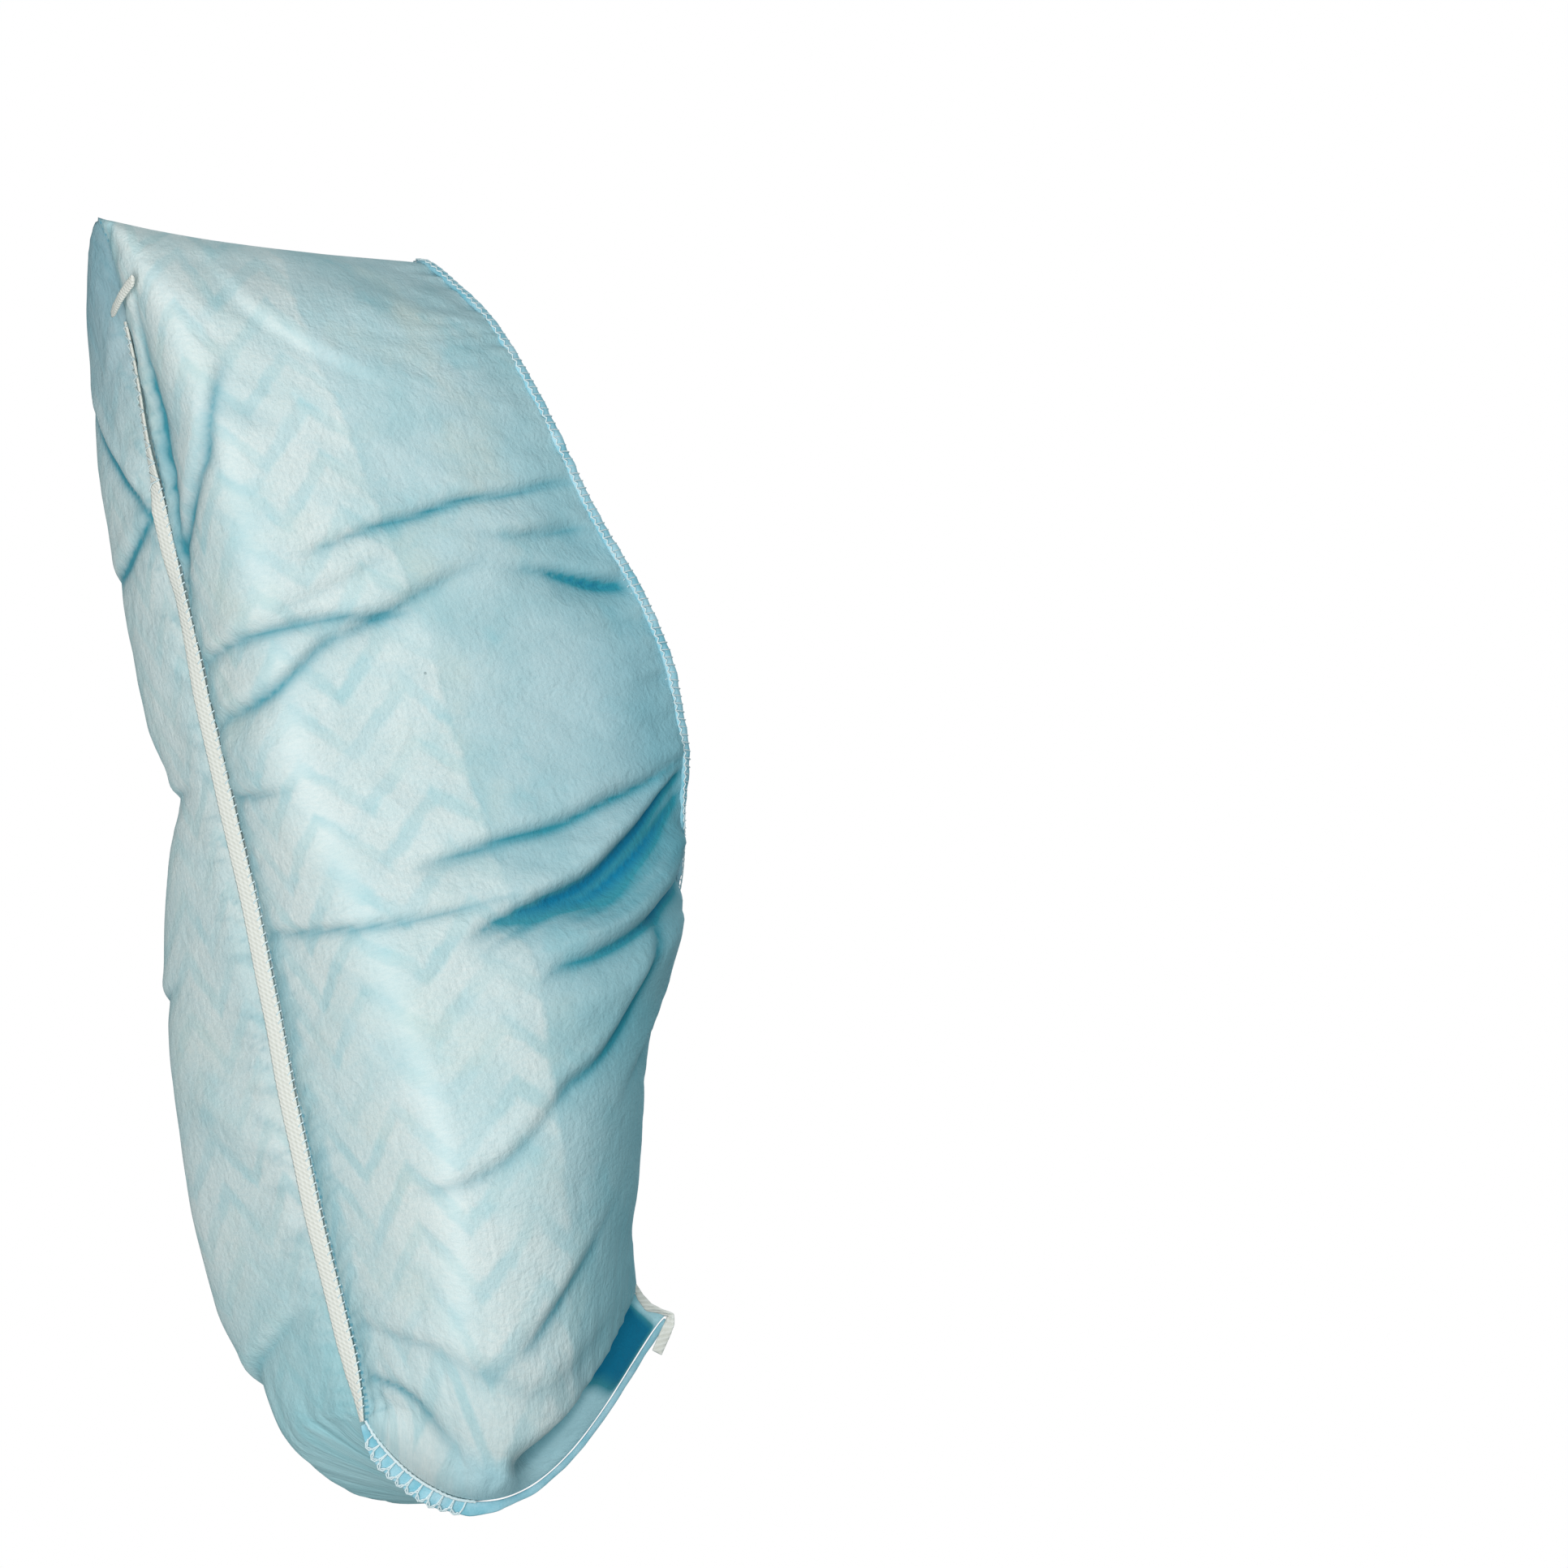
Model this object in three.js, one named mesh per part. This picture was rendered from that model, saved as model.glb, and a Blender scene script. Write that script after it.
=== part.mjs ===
// Disposable anti-skid shoe cover, in the shape it takes on a foot.
// Millimetres. +X runs from heel to toe, +Z up from the sole. The near half is on -Y, the far on +Y.
// The cover is one piece of non-woven cloth, folded along the instep and sewn down the middle of the
// sole, up the heel and round the toe, with a cut opening whose edge is overlocked over an elastic.
import * as THREE from 'three';

// ---- driving dimensions -------------------------------------------------------------------------
const WALL = 1.2; // cloth wall, thick enough to be a solid
const GAP = 0.3; // clearance kept between pieces that are sewn together
const SEAT_X = 130; // the foot rests on the sole here, measured from the heel corner
const SEAT_Z = 1.5; // height of the inner face of the sole above the seam line
const STATIONS = 54; // sections along the cover
const STEPS = 18; // steps round each half, from the sole seam to the opening or the instep
const RIM_FRONT = 0.65; // share of the length where the opening ends
const FLAT_LENGTH = 330; // length used to space the folds along the cover
const FLAT_HALF = 150; // cloth from the sole seam to the instep

// The tape lies on the far flank of the groove that it draws up along the seam.
const TAPE = { width: 4.8, thick: 1.0, from: 27, to: 305, step: 9, lean: 30, aside: 1.8, below: 1.95 };
const TOE_EDGE = { width: 1.6, deep: 3.6 };
const RIM = { tall: 2.8, proud: 0.5 };

const CLOTH = { color: 0xb4d6dd, roughness: 0.75, metalness: 0 };
const ELASTIC = { color: 0xe6e4da, roughness: 0.85, metalness: 0 };
const THREAD = { color: 0xdfe9ea, roughness: 0.8, metalness: 0 };

// ---- sections -----------------------------------------------------------------------------------
// u is the share of the length. seamX and seamZ place the sole seam, topX and topZ the instep or rim,
// forward is how far the section's middle bulges towards the toe, near and far are the half widths on
// the two sides, rim is the opening's half width, open goes from 1, where the wall runs straight up to
// the rim, to 0, where it rounds over into the instep, droop is how far the far edge of the sole hangs
// below the seam (the near edge rises as much), lift is how far the elastic draws the seam up out of the
// sole, and girth is the cloth round that half at rest.
const SECTION_COLUMNS = [
  'u', 'seamX', 'seamZ', 'topX', 'topZ', 'forward', 'near', 'far', 'rim', 'open', 'droop', 'lift', 'girth',
];
const SECTIONS = [
  [0.00, 0, 1.0, 28, 84, 2, 0, 0, 0, 1, 0, 0, 92],
  [0.04, 10, 0.5, 35, 87, 1, 17, 21, 10, 1, 0, 2.2, 106],
  [0.10, 31, 0.0, 47, 91, 0, 31, 34, 20, 1, 0, 3.6, 122],
  [0.20, 62, 0.0, 67, 96, 0, 37, 43, 26, 1, 2, 2.4, 135],
  [0.30, 94, 0.0, 95, 102, 0, 38, 45, 29, 1, 3, 2.9, 143],
  [0.40, 126, 0.0, 126, 112, 0, 37, 45, 29, 1, 4, 3.2, 150],
  [0.46, 145, 0.0, 144, 115, 0, 38, 39, 28, 0.95, 3, 3.4, 153],
  [0.52, 162, 0.0, 161, 115, 0, 40, 48, 26, 0.75, 5, 3.8, 157],
  [0.58, 181, 0.0, 178, 112, 0, 43, 59, 21, 0.4, 8, 3.9, 161],
  [0.65, 203, 0.0, 201, 111, 0, 47, 64, 0, 0.08, 11, 3.5, 166],
  [0.72, 225, 0.0, 222, 99, 1, 51, 65, 0, 0, 13, 2.8, 169],
  [0.80, 250, 0.0, 243, 89, 4, 53, 67, 0, 0, 14, 2.6, 168],
  [0.87, 272, 0.3, 262, 83, 9, 49, 67, 0, 0, 13, 2.6, 162],
  [0.93, 290, 0.8, 279, 78, 17, 41, 58, 0, 0, 10, 2.6, 152],
  [0.97, 302, 1.2, 291, 78, 27, 28, 51, 0, 0, 8, 1.6, 142],
  [0.985, 305.5, 1.5, 295, 82, 30, 20, 45, 0, 0, 7, 0.8, 132],
  [1.00, 309, 1.7, 300, 87, 30, 0, 0, 0, 0, 0, 0, 119],
];
// A half width grows like a square root where the bag closes, so its square is what runs smoothly.
const SQUARED = new Set(['near', 'far', 'rim']);
const WAIST = 0.17; // height of the widest point, as a share of the section's height
const SOLE_ROUND = 0.42; // below 1 the sole is flat with a quick turn at its edge
const TOP_ROUND = 0.8; // the same for the instep
const TURN_SHARE = 0.42; // share of the outline's steps spent below the widest point
const WALL_LEAN = 2.2; // how late an open wall leans in to the rim
const GROOVE = 13; // the cloth is drawn up with the seam this far to either side
const BULGE_RISE = 0.85; // how fast the toe comes forward above the sole
const BULGE_FALL = 1.3; // and goes back towards the instep
const GIRTH_LEAST = 0.9; // the cloth's girth as a share of the outline's own length
const GIRTH_MOST = 1.3;
const TAKE_UP = 4; // the higher, the nearer to the rim spare cloth is taken up
// The upper end of the toe is pressed flat beside its seam on the near half: where that starts along the
// length and over how much of it, and the same up the section's height, and by how much.
const PRESSED = { from: 0.964, over: 0.012, low: 0.25, rise: 0.25, share: 0.8 };

// ---- folds --------------------------------------------------------------------------------------
// A fold runs from (u0, v0) to (u1, v1), where v is 0 at the sole seam and 1 at the rim or instep.
// bow moves its middle towards the toe, width and depth are in millimetres, and a negative depth is
// a valley. side is -1 for the near half and 1 for the far half.
const FOLD_COLUMNS = ['side', 'u0', 'v0', 'u1', 'v1', 'bow', 'width', 'depth'];
const FOLDS = [
  [-1, 0.135, 0.33, 0.275, 0.04, 0, 8, -2.6], // heel: from the side wall down to the tape
  [-1, 0.36, 0.42, 0.367, 0.05, -4, 7, -2.0], // waist of the sole
  [-1, 0.34, 0.62, 0.415, 0.07, 0, 7, -2.2],
  [-1, 0.605, 0.5, 0.59, 0.03, 0, 7, -1.8], // before the ball of the foot
  [-1, 0.542, 0.92, 0.565, 0.46, 3, 8, -3.0], // instep side
  [-1, 0.565, 0.97, 0.645, 0.48, 4, 8, -4.5], // the deepest one, under the front of the opening
  [-1, 0.605, 0.97, 0.675, 0.6, 3, 7, -3.0],
  [-1, 0.66, 0.76, 0.805, 0.3, 8, 8, -3.0], // long curve over the ball
  [-1, 0.278, 0.97, 0.302, 0.72, 0, 8, -3.0], // from the rim at the ankle
  [-1, 0.375, 0.97, 0.362, 0.82, 0, 7, -2.4],
  [-1, 0.915, 0.08, 0.95, 0.62, 4, 7, -2.4], // across the toe
  [1, 0.08, 0.4, 0.15, 0.24, 0, 8, -2.2], // heel, far half
  [1, 0.24, 0.05, 0.3, 0.42, 0, 8, -2.2],
  [1, 0.46, 0.2, 0.47, 0.8, 3, 10, -2.6], // waist
  [1, 0.62, 0.33, 0.642, 0.5, 0, 8, -2.4],
  [1, 0.58, 0.96, 0.66, 0.55, 4, 8, -4.0],
  [1, 0.66, 0.8, 0.8, 0.42, 6, 9, -3.0],
  [1, 0.36, 0.96, 0.33, 0.66, 0, 8, -3.0],
  [1, 0.2, 0.95, 0.24, 0.66, 0, 8, -2.4],
  [1, 0.9, 0.2, 0.94, 0.66, 4, 8, -2.4],
];
const FOLD_FADE = 0.05; // folds fade out over this share of v at the seam and at the rim
const END_FADE = 0.05; // and over this share of u at the heel and toe
const FOLD_END = 0.35; // a fold's height at its ends, as a share of its middle's
const END_ROUND = 0.08; // share of a fold's length that is as high as its ends

// ---- reading the tables -------------------------------------------------------------------------
const named = (columns, row) => Object.fromEntries(columns.map((name, i) => [name, row[i]]));
const folds = FOLDS.map((row) => named(FOLD_COLUMNS, row));
const clamp = THREE.MathUtils.clamp;
const smooth = (x) => THREE.MathUtils.smoothstep(x, 0, 1);

// Slopes of a curve through (xs, ys) that never overshoots between its points.
function slopes(xs, ys) {
  const step = xs.slice(1).map((x, i) => x - xs[i]);
  const rise = step.map((h, i) => (ys[i + 1] - ys[i]) / h);
  const inner = rise.slice(1).map((next, i) => {
    if (rise[i] * next <= 0) return 0;
    const a = 2 * step[i + 1] + step[i];
    const b = step[i + 1] + 2 * step[i];
    return (a + b) / (a / rise[i] + b / next);
  });
  return [rise[0], ...inner, rise[rise.length - 1]];
}

const us = SECTIONS.map((row) => row[0]);
const columns = SECTION_COLUMNS.map((name, k) => {
  const ys = SECTIONS.map((row) => (SQUARED.has(name) ? row[k] ** 2 : row[k]));
  return { name, ys, ms: slopes(us, ys) };
});

// The section at u, as an object with the table's column names.
function sectionAt(u) {
  const i = clamp(us.findLastIndex((x) => x <= u), 0, us.length - 2);
  const h = us[i + 1] - us[i];
  const t = (u - us[i]) / h;
  const section = {};
  for (const { name, ys, ms } of columns) {
    const y =
      (2 * t ** 3 - 3 * t ** 2 + 1) * ys[i] +
      (t ** 3 - 2 * t ** 2 + t) * h * ms[i] +
      (3 * t ** 2 - 2 * t ** 3) * ys[i + 1] +
      (t ** 3 - t ** 2) * h * ms[i + 1];
    section[name] = SQUARED.has(name) ? Math.sqrt(Math.max(y, 0)) : y;
  }
  return section;
}

// ---- the smooth surface -------------------------------------------------------------------------
// One point of a half section's outline, with q from 0 at the sole seam to 1 at the rim or instep.
function outlinePoint(s, side, q) {
  const wide = side < 0 ? s.near : s.far;
  const rim = Math.min(s.rim, wide);
  const tall = s.topZ - s.seamZ;
  const waistZ = s.seamZ + WAIST * tall;
  let y;
  let z;
  if (q < TURN_SHARE) {
    const a = (q / TURN_SHARE) * (Math.PI / 2);
    y = wide * Math.sin(a) ** SOLE_ROUND;
    z = waistZ - WAIST * tall * Math.max(Math.cos(a), 0) ** SOLE_ROUND;
  } else {
    const t = (q - TURN_SHARE) / (1 - TURN_SHARE);
    const b = t * (Math.PI / 2);
    const closedY = rim + (wide - rim) * Math.max(Math.cos(b), 0) ** TOP_ROUND;
    const closedZ = waistZ + (s.topZ - waistZ) * Math.sin(b) ** TOP_ROUND;
    const openY = rim + (wide - rim) * (1 - t ** WALL_LEAN);
    const openZ = waistZ + (s.topZ - waistZ) * t;
    y = THREE.MathUtils.lerp(closedY, openY, s.open);
    z = THREE.MathUtils.lerp(closedZ, openZ, s.open);
  }
  const up = clamp((z - s.seamZ) / tall, 0, 1);
  if (side < 0) {
    const toe = smooth((s.u - PRESSED.from) / PRESSED.over);
    y *= 1 - PRESSED.share * toe * smooth((up - PRESSED.low) / PRESSED.rise);
  }
  const foremost = BULGE_RISE / (BULGE_RISE + BULGE_FALL);
  const bulge = (up / foremost) ** BULGE_RISE * ((1 - up) / (1 - foremost)) ** BULGE_FALL;
  const x = s.seamX + (s.topX - s.seamX) * up + s.forward * bulge;
  const hang = wide > 0 ? side * s.droop * (y / wide) * (1 - up) ** 2 : 0;
  const groove = s.lift * Math.max(1 - y / GROOVE, 0) ** 2 * (1 - up);
  return new THREE.Vector3(x, side * y, z - hang + groove);
}

// The outline of one half, as STEPS + 1 points. They are evenly spaced near the sole seam, and the
// cloth that a section is short of or has to spare is taken up towards the rim.
const FINE = 240;
function halfOutline(u, side) {
  const s = sectionAt(u);
  const fine = Array.from({ length: FINE }, (_, k) => outlinePoint(s, side, k / (FINE - 1)));
  const along = [0];
  for (let k = 1; k < FINE; k += 1) along.push(along[k - 1] + fine[k].distanceTo(fine[k - 1]));
  const total = along[FINE - 1];
  const girth = clamp(s.girth, total * GIRTH_LEAST, total * GIRTH_MOST);
  const points = [];
  let k = 0;
  for (let j = 0; j <= STEPS; j += 1) {
    const v = j / STEPS;
    const at = Math.min(girth * v + (total - girth) * v ** TAKE_UP, total);
    while (k < FINE - 2 && along[k + 1] < at) k += 1;
    const t = clamp((at - along[k]) / (along[k + 1] - along[k]), 0, 1);
    points.push(fine[k].clone().lerp(fine[k + 1], t));
  }
  return points;
}

// Height of the folds at (u, v) on one half, along the outward normal.
function foldHeight(u, v, side) {
  let height = 0;
  for (const f of folds) {
    if (f.side !== side) continue;
    const a = new THREE.Vector2(f.u0 * FLAT_LENGTH, f.v0 * FLAT_HALF);
    const b = new THREE.Vector2(f.u1 * FLAT_LENGTH, f.v1 * FLAT_HALF);
    const line = b.clone().sub(a);
    const long = line.length();
    const from = new THREE.Vector2(u * FLAT_LENGTH, v * FLAT_HALF).sub(a);
    const t = from.dot(line) / long ** 2;
    const inside = clamp(t, 0, 1);
    const bow = f.bow * 4 * inside * (1 - inside);
    const across = (from.x * line.y - from.y * line.x) / long - bow * Math.sign(line.y);
    const beyond = (t - inside) * long;
    const distance = Math.hypot(across, beyond);
    const middle = Math.sin(Math.PI * clamp(inside, END_ROUND, 1 - END_ROUND));
    const taper = THREE.MathUtils.lerp(FOLD_END, 1, middle);
    height += f.depth * taper * Math.exp(-((distance / f.width) ** 2));
  }
  const ends = smooth(u / END_FADE) * smooth((1 - u) / END_FADE);
  return height * ends * smooth(v / FOLD_FADE) * smooth((1 - v) / FOLD_FADE);
}

// ---- the cloth shell ----------------------------------------------------------------------------
// Stations are closer together where the bag closes at the heel, at the toe and before the opening.
const TOO_CLOSE = 0.25; // a regular section this share of a step from a key one is left out
const KEY_STATIONS = [0, 0.004, 0.012, 0.628, 0.641, 0.647, RIM_FRONT, 0.988, 0.996, 1];
const regular = Array.from({ length: STATIONS - 1 }, (_, i) => (i + 1) / STATIONS);
const apart = (u) => KEY_STATIONS.every((key) => Math.abs(u - key) > TOO_CLOSE / STATIONS);
const stations = [...KEY_STATIONS, ...regular.filter(apart)].sort((a, b) => a - b);
const last = stations.length - 1;
const front = stations.indexOf(RIM_FRONT);

// Every vertex is shared: the halves meet along the sole, at both ends and along the closed instep.
const vertexOf = new Map();
const outer = [];
function vertexId(i, j) {
  const closed = i === 0 || i === last || (Math.abs(j) === STEPS && i >= front);
  return vertexOf.get(`${i},${closed ? Math.abs(j) : j}`);
}
stations.forEach((u, i) => {
  for (const side of [-1, 1]) {
    halfOutline(u, side).forEach((point, step) => {
      const closed = i === 0 || i === last || (step === STEPS && i >= front);
      const key = `${i},${step === 0 || closed ? step : side * step}`;
      if (vertexOf.has(key)) return;
      vertexOf.set(key, outer.length);
      outer.push({ point, u, v: step / STEPS, side });
    });
  }
});

const faces = [];
function addFace(a, b, c) {
  if (a !== b && b !== c && c !== a) faces.push([a, b, c]);
}
for (let i = 0; i < last; i += 1) {
  for (let j = -STEPS; j < STEPS; j += 1) {
    const [a, b] = [vertexId(i, j), vertexId(i + 1, j)];
    const [c, d] = [vertexId(i + 1, j + 1), vertexId(i, j + 1)];
    addFace(a, c, b);
    addFace(a, d, c);
  }
}

function vertexNormals(points) {
  const normals = points.map(() => new THREE.Vector3());
  const [ab, ac] = [new THREE.Vector3(), new THREE.Vector3()];
  for (const [a, b, c] of faces) {
    ab.subVectors(points[b], points[a]);
    ac.subVectors(points[c], points[a]);
    ab.cross(ac);
    for (const k of [a, b, c]) normals[k].add(ab);
  }
  return normals.map((n) => n.normalize());
}

const smoothPoints = outer.map((vertex) => vertex.point);
const smoothNormals = vertexNormals(smoothPoints);
const outerPoints = outer.map(({ point, u, v, side }, k) =>
  point.clone().addScaledVector(smoothNormals[k], foldHeight(u, v, side)),
);
const outerNormals = vertexNormals(outerPoints);
const innerPoints = outerPoints.map((point, k) =>
  point.clone().addScaledVector(outerNormals[k], -WALL),
);

// The rim's vertices in order: along the near half to the front of the opening and back by the far.
const rimLoop = [
  ...Array.from({ length: front + 1 }, (_, i) => vertexId(i, -STEPS)),
  ...Array.from({ length: front - 1 }, (_, i) => vertexId(front - 1 - i, STEPS)),
];

function geometryOf(points, triangles) {
  const geometry = new THREE.BufferGeometry();
  geometry.setAttribute(
    'position',
    new THREE.Float32BufferAttribute(points.flatMap((p) => p.toArray()), 3),
  );
  geometry.setIndex(triangles.flat());
  geometry.computeVertexNormals();
  return geometry;
}

function shellGeometry() {
  const count = outerPoints.length;
  const triangles = [...faces, ...faces.map(([a, b, c]) => [a + count, c + count, b + count])];
  rimLoop.forEach((a, k) => {
    const b = rimLoop[(k + 1) % rimLoop.length];
    triangles.push([a, b, b + count], [a, b + count, a + count]);
  });
  return geometryOf([...outerPoints, ...innerPoints], triangles);
}

// ---- strips: tape, tails, overlocked edges ------------------------------------------------------
// A strip through sections of four corners each, closed into a ring or capped at both ends.
function stripGeometry(sections, ring) {
  const points = sections.flat();
  const triangles = [];
  const spans = ring ? sections.length : sections.length - 1;
  for (let k = 0; k < spans; k += 1) {
    const base = 4 * k;
    const next = 4 * ((k + 1) % sections.length);
    for (let c = 0; c < 4; c += 1) {
      const d = (c + 1) % 4;
      triangles.push([base + c, base + d, next + d], [base + c, next + d, next + c]);
    }
  }
  if (!ring) {
    const end = 4 * (sections.length - 1);
    triangles.push([0, 2, 1], [0, 3, 2], [end, end + 1, end + 2], [end, end + 2, end + 3]);
  }
  return outwards(geometryOf(points, triangles));
}

// Turns a closed mesh the right way out.
function outwards(geometry) {
  const p = geometry.attributes.position;
  const index = geometry.index;
  const [a, b, c] = [new THREE.Vector3(), new THREE.Vector3(), new THREE.Vector3()];
  let volume = 0;
  for (let k = 0; k < index.count; k += 3) {
    a.fromBufferAttribute(p, index.getX(k));
    b.fromBufferAttribute(p, index.getX(k + 1));
    c.fromBufferAttribute(p, index.getX(k + 2));
    volume += a.dot(b.cross(c));
  }
  if (volume < 0) index.array.reverse();
  geometry.computeVertexNormals();
  return geometry;
}

// Four corners round a centre, half a width along one direction and half a thickness along another.
function corners(centre, across, width, through, thick) {
  const at = (w, t) =>
    centre
      .clone()
      .addScaledVector(across, (w * width) / 2)
      .addScaledVector(through, (t * thick) / 2);
  return [at(-1, -1), at(1, -1), at(1, 1), at(-1, 1)];
}

// A flat band along a curve, whose width direction turns from one vector to another on the way.
function bandGeometry(points, acrossFrom, acrossTo, steps) {
  const curve = new THREE.CatmullRomCurve3(points);
  const sections = [];
  for (let k = 0; k <= steps; k += 1) {
    const t = k / steps;
    const tangent = curve.getTangentAt(t);
    const across = acrossFrom.clone().lerp(acrossTo, t);
    across.addScaledVector(tangent, -across.dot(tangent)).normalize();
    const through = tangent.clone().cross(across).normalize();
    sections.push(corners(curve.getPointAt(t), across, TAPE.width, through, TAPE.thick));
  }
  return stripGeometry(sections, false);
}

// The toe tail is bent over the toe corner, with a short leg on either side of it.
const TOE_TAIL = { beside: 6, thick: 1.0 };
const TOE_TAIL_OUTLINE = [
  [289.0, 80.0], [299.8, 88.4], [302.2, 88.7], [311.6, 82.9], [309.8, 81.2], [301.4, 85.4], [291.2, 78.6],
];
function toeTailGeometry() {
  const outline = new THREE.Shape(TOE_TAIL_OUTLINE.map(([x, z]) => new THREE.Vector2(x, z)));
  const flat = new THREE.ExtrudeGeometry(outline, { depth: TOE_TAIL.thick, bevelEnabled: false });
  return flat.rotateX(Math.PI / 2).translate(0, -TOE_TAIL.beside, 0);
}

// The elastic tape lies along the sole seam, leaning on the far flank of its groove.
function tapeGeometry() {
  const sections = [];
  const steps = Math.round((TAPE.to - TAPE.from) / TAPE.step);
  const seam = stations.map((_, i) => outerPoints[vertexId(i, 0)]);
  const lean = THREE.MathUtils.degToRad(TAPE.lean);
  const across = new THREE.Vector3(0, Math.cos(lean), -Math.sin(lean));
  const through = new THREE.Vector3(0, Math.sin(lean), Math.cos(lean));
  for (let k = 0; k <= steps; k += 1) {
    const x = THREE.MathUtils.lerp(TAPE.from, TAPE.to, k / steps);
    const i = seam.findLastIndex((point) => point.x <= x);
    const [p, q] = [seam[i], seam[i + 1]];
    const centre = p.clone().lerp(q, (x - p.x) / (q.x - p.x));
    centre.add(new THREE.Vector3(0, TAPE.aside, -TAPE.below));
    sections.push(corners(centre, across, TAPE.width, through, TAPE.thick));
  }
  return stripGeometry(sections, false);
}

// The overlocked edge stands on the toe seam, from the end of the tape round to the toe corner.
function toeEdgeGeometry() {
  const ids = Array.from({ length: STEPS + 1 }, (_, j) => vertexId(last, j));
  const side = new THREE.Vector3(0, 1, 0);
  const sections = ids.map((id, j) => {
    const before = outerPoints[ids[Math.max(j - 1, 0)]];
    const after = outerPoints[ids[Math.min(j + 1, STEPS)]];
    const out = side.clone().cross(after.clone().sub(before)).normalize();
    const centre = outerPoints[id].clone().addScaledVector(out, GAP + TOE_EDGE.deep / 2);
    return corners(centre, side, TOE_EDGE.width, out, TOE_EDGE.deep);
  });
  return stripGeometry(sections, false);
}

// The rim's hem carries on from the cloth's edge, away from the cloth, all round the opening.
function rimGeometry() {
  const count = rimLoop.length;
  const sections = rimLoop.map((id, k) => {
    const before = outerPoints[rimLoop[(k + count - 1) % count]];
    const after = outerPoints[rimLoop[(k + 1) % count]];
    const normal = outerNormals[id];
    const away = normal.clone().cross(after.clone().sub(before)).normalize();
    const low = outerPoints[id].clone().addScaledVector(away, GAP);
    const inside = innerPoints[id].clone().addScaledVector(away, GAP);
    low.addScaledVector(normal, RIM.proud);
    inside.addScaledVector(normal, -RIM.proud);
    return [
      low,
      low.clone().addScaledVector(away, RIM.tall),
      inside.clone().addScaledVector(away, RIM.tall),
      inside,
    ];
  });
  return stripGeometry(sections, true);
}

// ---- the object ---------------------------------------------------------------------------------
function piece(name, geometry, material) {
  const mesh = new THREE.Mesh(geometry, new THREE.MeshStandardMaterial(material));
  mesh.name = name;
  return mesh;
}

// The heel tail turns off the seam and lies across the sole of the near half.
const HEEL_TAIL = [
  new THREE.Vector3(24.4, -2.4, -1.7),
  new THREE.Vector3(22.6, -8, -1.6),
  new THREE.Vector3(19.8, -14.5, -1.4),
  new THREE.Vector3(17.2, -20, -0.6),
];
const TAIL_STEPS = 8;
const TAIL_ACROSS = new THREE.Vector3(0.9, -0.4, 0); // its width direction at the tape
const TAIL_TWISTED = new THREE.Vector3(0.9, -0.4, 0.1); // and at its loose end
const heelTail = bandGeometry(HEEL_TAIL, TAIL_ACROSS, TAIL_TWISTED, TAIL_STEPS);

const cover = new THREE.Group();
cover.add(
  piece('cover_shell', shellGeometry(), CLOTH),
  piece('sole_seam_tape', tapeGeometry(), ELASTIC),
  piece('heel_tape_tail', heelTail, ELASTIC),
  piece('toe_seam_overlock', toeEdgeGeometry(), THREAD),
  piece('toe_tape_tail', toeTailGeometry(), ELASTIC),
  piece('rim_hem', rimGeometry(), THREAD),
);
cover.position.set(-SEAT_X, 0, -SEAT_Z);

const part = new THREE.Group();
part.add(cover);
export default part;
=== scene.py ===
import math
import bpy
import numpy as np
from mathutils import Matrix, Vector, noise


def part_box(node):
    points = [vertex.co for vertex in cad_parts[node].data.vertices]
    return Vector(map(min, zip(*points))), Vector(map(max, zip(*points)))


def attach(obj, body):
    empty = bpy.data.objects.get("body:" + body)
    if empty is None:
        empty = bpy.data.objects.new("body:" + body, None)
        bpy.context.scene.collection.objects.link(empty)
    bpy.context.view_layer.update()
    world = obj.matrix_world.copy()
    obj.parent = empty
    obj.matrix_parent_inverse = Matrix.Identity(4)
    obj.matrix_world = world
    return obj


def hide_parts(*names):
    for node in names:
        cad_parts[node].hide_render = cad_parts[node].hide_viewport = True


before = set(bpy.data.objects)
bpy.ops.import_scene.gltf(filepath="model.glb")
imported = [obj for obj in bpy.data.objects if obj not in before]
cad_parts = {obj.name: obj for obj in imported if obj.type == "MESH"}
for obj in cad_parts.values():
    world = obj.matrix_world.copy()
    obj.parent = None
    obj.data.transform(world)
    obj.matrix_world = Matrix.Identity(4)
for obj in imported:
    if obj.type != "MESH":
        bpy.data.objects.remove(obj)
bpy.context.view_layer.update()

MM = 0.001

# Camera, studio and floor. The view comes from below and beside the sole, a little rolled, as one sees
# the cover of a foot that is lifted at the heel. The light is three large soft boxes in a white room.
HEEL = Vector(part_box("cover_shell")[0]).x  # the heel corner, from which the cover's lengths are counted
SEAT_Z = 1.5 * MM  # height of the inner face of the sole above the seam
LOOK_UP = math.radians(22)
ROLL = math.radians(12.4)
look = Vector((0, math.cos(LOOK_UP), math.sin(LOOK_UP)))
over = Vector((0, -math.sin(LOOK_UP), math.cos(LOOK_UP)))
along = Vector((1, 0, 0))
right = math.sin(ROLL) * along + math.cos(ROLL) * over
up = -math.cos(ROLL) * along + math.sin(ROLL) * over
AIM_ALONG, AIM_UP = 175.7 * MM, 138.4 * MM  # the middle of the view, from the heel corner
aim = Vector((HEEL + AIM_ALONG, 0, AIM_UP / math.cos(LOOK_UP) - SEAT_Z))
CAMERA_DISTANCE = 6.0
FIELD = 396.8 * MM  # width of the view at the object
SENSOR = 36
ROOM_LIGHT = 0.3
LIT_POINT = Vector((0.05, 0, 0.05))  # what the lamps are turned to
FLOOR_SIZE, FLOOR_Z = 30, -6.6  # far enough down to look at the cover from below


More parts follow.
